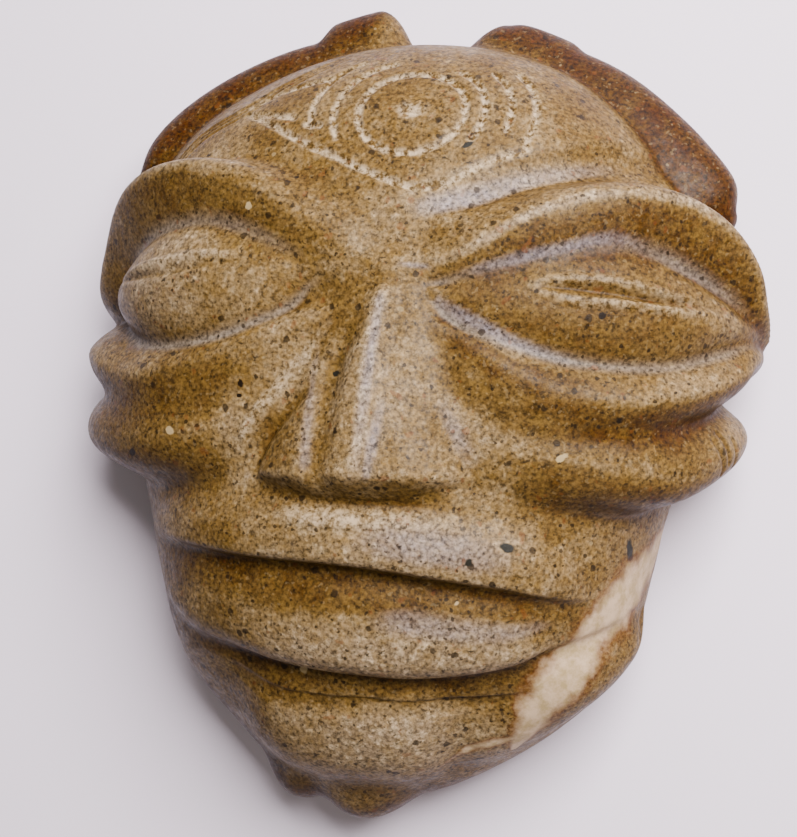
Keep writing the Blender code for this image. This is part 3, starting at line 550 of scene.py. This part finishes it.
# The camera, in steps and pixels, as the mask was seen
CAMERA_TURN = math.radians(15.0)
CAMERA_ROLL = math.radians(3.5)
CAMERA_DISTANCE = 430.0
CAMERA_AIM = np.array([0.0, 0.0, 30.0])
CAMERA_SCALE = 3.76                     # pixels in a step
IMAGE_WIDTH = 797
IMAGE_SHIFT = (14.5, -6.5)
SENSOR_WIDTH = 36.0
NEAREST_SEEN = 0.01

# The light, in metres: each lamp's name, place, size, power and colour, and what they all point at
LAMPS = (
    ("overhead", (0.28, 0.34, 0.57), 0.45, 20.0, (1.0, 0.95, 0.97)),
    ("window", (0.20, 1.1, 0.42), 0.45, 4.5, (0.95, 0.91, 1.0)),
    ("room", (0.6, -0.8, 0.4), 0.8, 2.5, (1.0, 0.92, 0.82)))
LAMP_AIM = Vector((0, 0, 0.03))
SKY_COLOUR = (1.0, 0.95, 0.9)
SKY_STRENGTH = 0.15
FLOOR_SIZE = 6.0
FLOOR_DROP = 0.0002                     # how far the floor is below the back, so that they don't flicker

# A hollow or an edge is found against the surface smoothed this often, with points at least this far apart
HOLLOW_PASSES = 90
FINEST_SPACING = 0.00045
SMOOTH_ANGLE = math.radians(60)         # faces that meet at less than this are shaded as one surface

# The stone's finish: how far below its surroundings a point is fully darkened with painted shade, or above
# them fully paled, in metres
SHADED_HOLLOW = 0.0009
PALED_EDGE = 0.0009
CLOUD_SHARE = 0.35                      # how much of that the stone's own clouds can shift
GRAIN_SHARE = 0.26                      # and how much from one grain to the next
DUST_SHADE_SHEEN_SHARE = 0.8                        # and how much the dust and painted sheen of the pale places, and the darkening and painted shade, shift it
MATT = 0.85                             # the roughness of what has no polish

# The stone's patterns: the size of each in mm, its detail and roughness, from where to where in the noise it
# runs, and from what to what. They shift the stone's tone and with it the painted shade and paling, spot the
# paled stone with chalk, set each grain's lightness, move the vein's edge, cloud the vein, break up the
# powder and painted highlights and set the roughness of the polish.
PATTERNS = (
    (13.0, 4.0, 0.6, 0.3, 0.7, -CLOUD_SHARE, CLOUD_SHARE),
    (1.7, 3.0, 0.6, 0.3, 0.7, -GRAIN_SHARE, GRAIN_SHARE),
    (2.6, 4.0, 0.7, 0.5, 0.62, 0.0, 0.5), (1.0, 2.0, 0.6, 0.3, 0.7, 0.3, 1.65),
    (6.0, 5.0, 0.6, 0.0, 1.0, -0.75, 0.75), (5.0, 5.0, 0.7, 0.4, 0.6, 0.0, 1.0),
    (2.0, 4.0, 0.7, 0.43, 0.63, 0.0, 0.8), (3.0, 5.0, 0.8, 0.35, 0.65, 0.3, 0.6))


def linear(hex_colour):
    """A colour's sRGB hex as linear red, green and blue."""
    channels = [int(hex_colour[i:i + 2], 16) / 255 for i in (1, 3, 5)]
    return tuple(c / 12.92 if c <= 0.04045 else ((c + 0.055) / 1.055) ** 2.4 for c in channels)


def per_mm(size):
    """The texture scale that gives a pattern this many millimetres across, on coordinates in metres."""
    return 1000.0 / size


def deselect():
    """Leave nothing selected, in object mode."""
    if bpy.context.mode != "OBJECT":
        bpy.ops.object.mode_set(mode="OBJECT")
    bpy.ops.object.select_all(action="DESELECT")


def connect(tree, made, links):
    """Link a node's inputs to nodes or sockets, or set them, by name or by number as in0."""
    for name, value in links.items():
        socket = made.inputs[int(name[2:]) if name[2:].isdigit() else name.replace("_", " ")]
        if isinstance(value, bpy.types.Node):
            value = next(output for output in value.outputs if output.enabled)
        if isinstance(value, bpy.types.NodeSocket):
            tree.links.new(value, socket)
        else:
            socket.default_value = (*value, 1) if socket.type == "RGBA" else value


def node(tree, kind, settings=(), **links):
    """Add a shader node with its settings and links."""
    made = tree.nodes.new("ShaderNode" + kind)
    for name, value in dict(settings).items():
        setattr(made, name, value)
    connect(tree, made, links)
    return made


def measure(name, description, default):
    """A length that a user can change."""
    return bpy.props.FloatProperty(name=name, description=description, default=default, unit="LENGTH")


def colour(name, description, hex_colour):
    """A colour that a user can change."""
    return bpy.props.FloatVectorProperty(name=name, description=description, size=3, subtype="COLOR",
                                         default=linear(hex_colour))


def fade(away, full, gone):
    """1 as far as one distance from a line, and from there down to 0 at the other."""
    return np.clip((gone - np.abs(away)) / (gone - full), 0, 1)


def strongest(surface, lines, share_of, least=0.0):
    """The most that any line gives each surface point, by how far across it lies and the line's rise."""
    share = np.full(len(surface), least)
    for line in lines:
        close, across, rise = along(surface, line)
        share[close] = np.maximum(share[close], share_of(across, rise))
    return share


def dust_and_sheen(surface):
    """How pale each surface point is, with real dust and with painted sheen."""
    share = np.zeros(len(surface))
    for x, y, half_x, half_y, most in DUST_AND_SHEEN_PLACES:
        away = np.hypot((surface[:, 0] - x) / half_x, (surface[:, 1] - y) / half_y)
        share = np.maximum(share, most * fade(away, *DUST_AND_SHEEN_FADE))
    return np.where(surface[:, 2] > DUST_AND_SHEEN_LEVEL, share, 0)


def tone_shade_and_sheen(surface):
    """How far each surface point is darkened: the headband all over, the rest with painted shade, and below 0
    on the lines of painted sheen.
    """
    share = strongest(surface, (HEADBAND_LEFT, HEADBAND_RIGHT),
                      lambda across, _: HEADBAND_DARKENING * fade(across, *DARK_FADE))
    # painted shade on the lower face of each roll
    for roll, most in SHADED_ROLLS:
        lower_face = strongest(surface, [roll], lambda across, rise: fade(across, *DARK_FADE)
                               * np.clip(-across / SHADE_ONSET, 0, 1) * np.clip(rise / SHADED_RISE, 0, 1))
        share = np.maximum(share, most * lower_face)
    # painted shade along the shade lines, and painted sheen where the share is below nothing
    for line in SHADE_AND_SHEEN_LINES:
        close, across, most = along(surface, line)
        share[close] += most * fade(across, *LIGHT_LINE_FADE)
    return share


def finishes_and_painted_light(surface):
    """How much of each finish and of the painted light there is at each surface point, under the names that
    the material reads.
    """
    veins = [[(x, y, z, half, half, share) for x, y, z, half in line]
             for line, share in ((VEIN, 1.0), (VEIN_TAIL, TAIL_SHARE))]
    engraving = strongest(surface, forehead_lines() + lid_corners(),
                          lambda across, _: fade(across, *POWDER_FADE))
    # painted highlight on the fine ridges
    ridge_highlights = strongest(surface, PALE_RIDGES, lambda across, depth: RIDGE_HIGHLIGHT
                       * fade(across, *RIDGE_HIGHLIGHT_FADE) * np.clip(-depth, 0, 1))
    return {
        "vein": strongest(surface, veins, lambda across, share: np.clip(share - np.abs(across), -1, 1), -1.0),
        "powder_and_highlight": np.maximum(engraving, ridge_highlights),
        # dust and painted sheen, less the headband's darkening and the painted shade
        "dust_shade_and_sheen": dust_and_sheen(surface) - tone_shade_and_sheen(surface),
        # painted sheen in the creases round the eye pods
        "crease": strongest(surface, (EYE_POD_LEFT, EYE_POD_RIGHT),
                            lambda across, _: fade(np.abs(across) - 1, *CREASE_FADE)),
        # painted sheen along the sheen lines
        "sheen": strongest(surface, SHEEN_LINES, lambda across, most: most * fade(across, *SHEEN_FADE))}


def lid_corners():
    """The short engraved lines at the corner of the forehead's eye."""
    return [engraved(points) for points in LID_CORNER_LINES]


def fine_lines():
    """Every line that is too fine for the solid."""
    lines = lid_corners() + [UNDER_LIP_LINE] + PALE_RIDGES
    for i in range(HEADBAND_LINE_COUNT):
        inwards = 1 - i * HEADBAND_LINE_GAP / HEADBAND_LINE_REACH
        lines.append([(x * inwards, y * inwards, z + i, *rest) for x, y, z, *rest in HEADBAND_LINES_LEFT])
    for ends in LOBE_SCRATCHES:
        lines.append([(*end, SCRATCH_HALF, SCRATCH_HALF, SCRATCH_DEPTH) for end in ends])
    return lines


def read(items, name, width, kind=float):
    """What a mesh keeps for each of its points or edges, a row for each."""
    rows = np.empty(len(items) * width, kind)
    items.foreach_get(name, rows)
    return rows.reshape(-1, width)


def blank_points(mesh):
    """The points of the cut cube, which runs from -1 to 1, moved out to an even ellipsoid, in steps."""
    even = np.tan(read(mesh.vertices, "co", 3) * np.pi / 4)
    return HEART + even / np.linalg.norm(even, axis=1)[:, None] * BLANK_REACH


def near_lines(points):
    """Which points are close to an engraved line or a slit."""
    surface, _ = on_body(points)
    near = np.zeros(len(points), bool)
    for line in fine_lines() + forehead_lines() + [EYE_SLIT_LEFT, EYE_SLIT_RIGHT]:
        close, across, _ = along(surface, line)
        near[close] |= np.abs(across) < NEAR_LINES
    return near


def finely_carved(points):
    """The carved surface with its fine lines, in steps, and how much of each finish and painted light it has.
    """
    coarse = carved(points)
    surface, rays = on_body(points)
    fine = np.zeros(len(surface))
    for line in fine_lines():
        sink(fine, surface, line, ENGRAVING_POWER)
    return coarse + rays * fine[:, None], finishes_and_painted_light(surface)


def hollows(mesh):
    """How far each point lies below the surface round it, in metres: below 0 on an edge."""
    count = len(mesh.vertices)
    place = read(mesh.vertices, "co", 3)
    a, b = read(mesh.edges, "vertices", 2, int).T
    length = np.linalg.norm(place[a] - place[b], axis=1)
    near = np.bincount(a, minlength=count) + np.bincount(b, minlength=count)
    spacing = (np.bincount(a, length, count) + np.bincount(b, length, count)) / near
    share = np.clip(FINEST_SPACING / spacing, 0, 1) ** 2 / 2
    smooth = place.copy()
    for _ in range(HOLLOW_PASSES):
        for axis in range(3):
            total = np.bincount(a, smooth[b, axis], count) + np.bincount(b, smooth[a, axis], count)
            smooth[:, axis] += (total / near - smooth[:, axis]) * share
    return np.einsum("ij,ij->i", smooth - place, read(mesh.vertex_normals, "vector", 3))


def point_attribute(mesh, name, values):
    """Keep a number at each point of the mesh, for its material."""
    kept = mesh.attributes.new(name, "FLOAT", "POINT")
    kept.data.foreach_set("value", np.asarray(values, np.float32))


def speckled_stone(colours):
    """Granular brown stone, ground by hand and waxed, under a soft pale gloss: amber with painted shade in
    its hollows and shaded faces, and pale with painted sheen and highlights in places.
    """
    stone = bpy.data.materials.new("hand_polished_speckled_stone")
    stone.use_nodes = True
    tree = stone.node_tree
    blend = {"data_type": "RGBA"}
    place = node(tree, "TexCoord").outputs["Object"]
    vein, powder_and_highlight, dust_shade_and_sheen, crease, sheen, hollow = (
        node(tree, "Attribute", {"attribute_name": name}).outputs["Fac"]
        for name in ("vein", "powder_and_highlight", "dust_shade_and_sheen", "crease", "sheen", "hollow"))
    patterns = []
    for size, detail, roughness, low, high, least, most in PATTERNS:
        noise = node(tree, "TexNoise", Vector=place, Scale=per_mm(size), Detail=detail, Roughness=roughness)
        patterns.append(node(tree, "MapRange", Value=noise, From_Min=low, From_Max=high,
                             To_Min=least, To_Max=most))
    cloud, mixed, chalky, grain, ragged, milky, broken, gloss = patterns

    # painted shade darkens the hollows to amber, and the edges are paled to grey, in ragged clouds and from
    # grain to grain
    darkness = node(tree, "MapRange", {"clamp": False}, Value=hollow,
                From_Min=-PALED_EDGE, From_Max=SHADED_HOLLOW)
    for shift in (cloud, mixed):
        darkness = node(tree, "Math", {"operation": "ADD"}, in0=darkness, in1=shift)
    # the dust and painted sheen of the pale places lighten it, and the headband's darkening and the painted
    # shade on the rolls and lines deepen it
    darkness = node(tree, "Math", {"operation": "MULTIPLY_ADD"}, in0=dust_shade_and_sheen, in1=-DUST_SHADE_SHEEN_SHARE, in2=darkness)
    shade_and_tone_share = node(tree, "MapRange", Value=darkness, From_Min=0.1, From_Max=1.3)
    paled_share = node(tree, "MapRange", Value=darkness, From_Min=0.5, From_Max=-0.9)
    # the deepest painted shade goes to umber
    deepest_shade_share = node(tree, "MapRange", Value=darkness, From_Min=1.3, From_Max=2.3, To_Max=0.85)
    paled = node(tree, "Mix", blend, in0=chalky, in6=colours.grey, in7=colours.powder_and_highlight)

    # golden grains, in loose drifts
    golden = node(tree, "TexNoise", {"noise_dimensions": "4D"}, Vector=place, W=7.0, Scale=per_mm(5),
                  Detail=5.0, Roughness=0.75)
    golden = node(tree, "MapRange", Value=golden, From_Min=0.48, From_Max=0.62, To_Max=0.5)

    # painted sheen in the creases round the eye pods, and painted sheen along the sheen lines, broken by the
    # grain
    crease_sheen_share = node(tree, "MapRange", Value=hollow, From_Min=0.0, From_Max=0.0006, To_Max=0.75)
    crease_sheen_share = node(tree, "Math", {"operation": "MULTIPLY"}, in0=crease, in1=crease_sheen_share)
    broken_sheen = node(tree, "MapRange", Value=mixed, From_Min=-GRAIN_SHARE, From_Max=GRAIN_SHARE,
                  To_Min=1.0, To_Max=0.5)
    broken_sheen = node(tree, "Math", {"operation": "MULTIPLY"}, in0=sheen, in1=broken_sheen)

    body = colours.tan
    for share, layer in ((shade_and_tone_share, colours.amber), (paled_share, paled), (golden, colours.gold),
                         (deepest_shade_share, colours.umber), (crease_sheen_share, colours.crease_sheen), (broken_sheen, colours.sheen)):
        body = node(tree, "Mix", blend, in0=share, in6=body, in7=layer)

    # each grain is lighter or darker than the next
    body = node(tree, "VectorMath", {"operation": "SCALE"}, Vector=body, Scale=grain)

    # ragged specks: the spacing of each kind in mm, from where to where in its noise its edge runs, how
    # strongly it shows, and its colour
    for spacing, edge, full, strength, speck in (
            (1.3, 0.64, 0.67, 0.16, colours.cream), (2.9, 0.68, 0.71, 0.4, colours.rust),
            (1.5, 0.67, 0.70, 0.7, colours.black), (3.3, 0.74, 0.77, 0.4, colours.cream)):
        specks = node(tree, "TexNoise", {"noise_dimensions": "4D"}, Vector=place, W=spacing,
                      Scale=per_mm(spacing), Detail=1.0, Roughness=0.5)
        inside = node(tree, "MapRange", Value=specks, From_Min=edge, From_Max=full, To_Max=strength)
        body = node(tree, "Mix", blend, in0=inside, in6=body, in7=speck)

    # dark mineral grains, each its own size: the spacing of each kind in mm
    warp = node(tree, "TexNoise", Vector=place, Scale=per_mm(1.6), Detail=2.0).outputs["Color"]
    bent = node(tree, "VectorMath", {"operation": "MULTIPLY_ADD"}, in0=warp, in1=[MARK_WANDER] * 3, in2=place)
    for spacing in (2.4, 4.3):
        cells = node(tree, "TexVoronoi", Vector=bent, Scale=per_mm(spacing))
        size = node(tree, "MapRange", Value=cells.outputs["Color"], From_Min=0.38, From_Max=0.75, To_Max=0.24)
        inside = node(tree, "Math", {"operation": "SUBTRACT"}, in0=size, in1=cells.outputs["Distance"])
        inside = node(tree, "MapRange", Value=inside, From_Max=0.06, To_Max=0.8)
        body = node(tree, "Mix", blend, in0=inside, in6=body, in7=colours.black)

    # the single marks, each with a ragged edge
    for x, y, z, half_x, half_y, turn, name in MARKS:
        centre = (np.array([x, y, z]) - CARVED_MIDDLE) * STEP + MARK_WANDER / 2
        mark = node(tree, "Mapping", {"vector_type": "TEXTURE"}, Vector=bent, Location=centre,
                    Rotation=(0, 0, math.radians(turn)), Scale=np.array([half_x, half_y, MARK_DEPTH]) * STEP)
        mark = node(tree, "VectorMath", {"operation": "LENGTH"}, in0=mark)
        mark = node(tree, "MapRange", Value=mark, From_Min=1.1, From_Max=0.8)
        body = node(tree, "Mix", blend, in0=mark, in6=body, in7=getattr(colours, name))

    # the vein is clouded, and runs out into the brown through rusty margins
    edge = node(tree, "Math", {"operation": "ADD"}, in0=vein, in1=ragged)
    margin = node(tree, "MapRange", Value=edge, From_Min=-0.25, From_Max=0.1, To_Max=0.5)
    inside = node(tree, "MapRange", Value=edge, From_Min=0.0, From_Max=0.5, To_Max=0.92)
    clouded = node(tree, "Mix", blend, in0=milky, in6=colours.cream, in7=colours.vein)

    # stone powder left in the engraved lines, and painted highlight on the fine ridges, broken up by the
    # grains
    powder_and_highlight_share = node(tree, "Math", {"operation": "MULTIPLY"}, in0=powder_and_highlight, in1=broken)
    for share, layer in ((margin, colours.rust), (inside, clouded), (powder_and_highlight_share, colours.powder_and_highlight)):
        body = node(tree, "Mix", blend, in0=share, in6=body, in7=layer)

    # hand polish: a gloss that is fine in places and hazy in others, and none on the powder and the painted
    # highlights
    gloss = node(tree, "Mix", {"data_type": "FLOAT"}, in0=powder_and_highlight_share, in2=gloss, in3=MATT)

    # the tool's slow waves, then the pits between the grains
    waves = node(tree, "TexNoise", Vector=place, Scale=per_mm(9), Detail=2.0)
    waved = node(tree, "Bump", Strength=0.5, Distance=0.0007, Height=waves)
    pits = node(tree, "TexNoise", Vector=place, Scale=per_mm(1.1), Detail=3.0, Roughness=0.7)
    pitted = node(tree, "Bump", Strength=0.6, Distance=0.0002, Height=pits, Normal=waved)
    connect(tree, tree.nodes["Principled BSDF"], {"Base Color": body, "Roughness": gloss, "Normal": pitted,
                                                  "IOR": 1.5, "Specular IOR Level": 0.1})
    return stone


def pale_floor(colours):
    """Plain matt board, pale and a little cool."""
    board = bpy.data.materials.new("matt_pale_board")
    board.use_nodes = True
    tree = board.node_tree
    connect(tree, tree.nodes["Principled BSDF"], {"Base Color": colours.floor, "Roughness": MATT})
    return board


class MasketteSizes(bpy.types.PropertyGroup):
    """The sizes of the maskette"""
    height: measure("Height", "From the chin's lumps to the headband's", BLOCK.y)
    width: measure("Width", "Across the cheek rolls", BLOCK.x)
    depth: measure("Depth", "From the flat back to the nose", BLOCK.z)


class StoneColours(bpy.types.PropertyGroup):
    """The colours of the stone and of the floor"""
    # amber is the stone's darker tone, and the colour of its painted shade in the hollows, on the rolls'
    # lower faces and along the shade lines
    amber: colour("Amber", "The stone in its waxed hollows", "#392406")
    # umber is the colour of the deepest painted shade and of the darkest headband
    umber: colour("Umber", "The stone where it is waxed thickest", "#321703")
    tan: colour("Tan", "The stone's body", "#5F4A25")
    # grey is the stone's paler tone on the paled edges, and the colour of the dust and painted sheen of the
    # pale places
    grey: colour("Grey", "The stone on its rubbed edges", "#77654D")
    gold: colour("Gold", "Golden grains in the stone", "#5A441B")
    # the colour of the painted sheen in the creases round the eye pods
    crease_sheen: colour("Dust", "The dull creases round the eyes", "#6A6156")
    # the colour of the painted sheen along the sheen lines
    sheen: colour("Bloom", "The pale bloom in the polish", "#767076")
    cream: colour("Cream", "Pale specks", "#94805A")
    rust: colour("Rust", "Rusty specks and margins", "#5A2F0E")
    black: colour("Black", "Dark specks", "#150E06")
    slate: colour("Slate", "Grey-green marks", "#1C1B15")
    vein: colour("Vein", "The cream vein", "#B49C7E")
    # the colour of the stone powder in the engraved lines and of the painted highlight on the fine ridges
    powder_and_highlight: colour("Powder", "Stone powder in the engraved lines", "#B7A383")
    floor: colour("Floor", "The pale floor", "#E9DEEA")


class MASKETTE_OT_carve(bpy.types.Operator):
    """Carve the maskette from a block, cut its back flat and give it its stone"""
    bl_idname = "maskette.carve"
    bl_label = "Carve maskette"

    def execute(self, context):
        sizes = context.scene.maskette_sizes
        deselect()

        # the blank: a cube whose sides are cut into strips, and these again
        bpy.ops.mesh.primitive_cube_add(size=2.0)
        stone = context.object
        stone.name = "carved_stone"
        bpy.ops.object.mode_set(mode="EDIT")
        bpy.ops.mesh.select_all(action="SELECT")
        bpy.ops.mesh.subdivide(number_cuts=STRIPS - 1)
        bpy.ops.mesh.subdivide(number_cuts=CUTS_IN_A_STRIP - 1)
        bpy.ops.object.mode_set(mode="OBJECT")
        mesh = stone.data

        # once more near the engraved lines
        near = near_lines(blank_points(mesh))
        mesh.vertices.foreach_set("select", near)
        mesh.edges.foreach_set("select", near[read(mesh.edges, "vertices", 2, int)].all(1))
        mesh.polygons.foreach_set("select", [all(near[v] for v in face.vertices) for face in mesh.polygons])
        bpy.ops.object.mode_set(mode="EDIT")
        bpy.ops.mesh.subdivide(number_cuts=CUTS_NEAR_LINES - 1)
        bpy.ops.object.mode_set(mode="OBJECT")

        # the carving, and a light rub over it
        shaped, finish_and_light = finely_carved(blank_points(mesh))
        mesh.vertices.foreach_set("co", shaped.ravel())
        for name, share in finish_and_light.items():
            point_attribute(mesh, name, share)
        rub = stone.modifiers.new("Rub", "SMOOTH")
        rub.factor = SMOOTHING_SHARE
        rub.iterations = SMOOTHING_PASSES
        bpy.ops.object.modifier_apply(modifier=rub.name)

        # the flat back
        bpy.ops.object.mode_set(mode="EDIT")
        bpy.ops.mesh.select_all(action="SELECT")
        bpy.ops.mesh.bisect(plane_co=(0, 0, 0), plane_no=(0, 0, 1), clear_inner=True, use_fill=True)
        bpy.ops.object.mode_set(mode="OBJECT")

        # from steps to metres, with the middle of the back at the origin
        place = read(mesh.vertices, "co", 3)
        low, high = place.min(0), place.max(0)
        middle = (low + high) / 2
        middle[2] = low[2]
        place = (place - middle) * np.array([sizes.width, sizes.height, sizes.depth]) / (high - low)
        mesh.vertices.foreach_set("co", place.ravel())
        mesh.update()

        # the stone's finish: the hollows that take the painted shade
        point_attribute(mesh, "hollow", hollows(mesh))
        bpy.ops.object.shade_smooth_by_angle(angle=SMOOTH_ANGLE)
        mesh.materials.append(speckled_stone(context.scene.stone_colours))

        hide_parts("maskette")
        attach(stone, "root")
        return {"FINISHED"}


class MASKETTE_OT_stage(bpy.types.Operator):
    """Lay the pale floor, set the soft light and place the camera"""
    bl_idname = "maskette.stage"
    bl_label = "Set stage"

    def execute(self, context):
        scene = context.scene
        deselect()
        bpy.ops.mesh.primitive_plane_add(size=FLOOR_SIZE, location=(0, 0, -FLOOR_DROP))
        floor = context.object
        floor.name = "pale_floor"
        floor.data.materials.append(pale_floor(scene.stone_colours))
        for name, place, size, power, tint in LAMPS:
            bpy.ops.object.light_add(type="AREA", location=place)
            lamp = context.object
            lamp.name = name
            lamp.data.shape = "SQUARE"
            lamp.data.size = size
            lamp.data.energy = power
            lamp.data.color = tint
            lamp.rotation_euler = (LAMP_AIM - Vector(place)).to_track_quat("-Z", "Y").to_euler()
        sky = scene.world or bpy.data.worlds.new("soft_room")
        scene.world = sky
        sky.use_nodes = True
        tree = sky.node_tree
        connect(tree, tree.nodes["Background"], {"Color": SKY_COLOUR, "Strength": SKY_STRENGTH})

        back = np.array([math.sin(CAMERA_TURN), 0.0, math.cos(CAMERA_TURN)])
        across = np.cross((0.0, 1.0, 0.0), back)
        up = np.array([0.0, 1.0, 0.0]) * math.cos(CAMERA_ROLL) - across * math.sin(CAMERA_ROLL)
        right = across * math.cos(CAMERA_ROLL) + np.array([0.0, 1.0, 0.0]) * math.sin(CAMERA_ROLL)
        target = CAMERA_AIM - right * IMAGE_SHIFT[0] / CAMERA_SCALE + up * IMAGE_SHIFT[1] / CAMERA_SCALE
        eye = (target + back * CAMERA_DISTANCE - CARVED_MIDDLE) * STEP
        bpy.ops.object.camera_add()
        camera = context.object
        turned = Matrix((right, up, back)).transposed().to_4x4()
        turned.translation = Vector(eye)
        camera.matrix_world = turned
        camera.data.sensor_fit = "HORIZONTAL"
        camera.data.sensor_width = SENSOR_WIDTH
        camera.data.lens = CAMERA_SCALE * CAMERA_DISTANCE * SENSOR_WIDTH / IMAGE_WIDTH
        camera.data.clip_start = NEAREST_SEEN
        scene.camera = camera
        return {"FINISHED"}


class MASKETTE_PT_sidebar(bpy.types.Panel):
    """The maskette's sizes, colours and steps"""
    bl_label = "Stone maskette"
    bl_idname = "MASKETTE_PT_sidebar"
    bl_space_type = "VIEW_3D"
    bl_region_type = "UI"
    bl_category = "Maskette"

    def draw(self, context):
        for group in (context.scene.maskette_sizes, context.scene.stone_colours):
            for name in group.bl_rna.properties.keys():
                if name not in ("rna_type", "name"):
                    self.layout.prop(group, name)
        self.layout.operator("maskette.carve")
        self.layout.operator("maskette.stage")


CLASSES = (MasketteSizes, StoneColours, MASKETTE_OT_carve, MASKETTE_OT_stage, MASKETTE_PT_sidebar)


def register():
    for cls in CLASSES:
        bpy.utils.register_class(cls)
    bpy.types.Scene.maskette_sizes = bpy.props.PointerProperty(type=MasketteSizes)
    bpy.types.Scene.stone_colours = bpy.props.PointerProperty(type=StoneColours)


def unregister():
    del bpy.types.Scene.stone_colours
    del bpy.types.Scene.maskette_sizes
    for cls in reversed(CLASSES):
        bpy.utils.unregister_class(cls)


def main():
    """Build the maskette and its stage."""
    register()
    bpy.ops.maskette.carve()
    bpy.ops.maskette.stage()


if __name__ == "__main__":
    main()
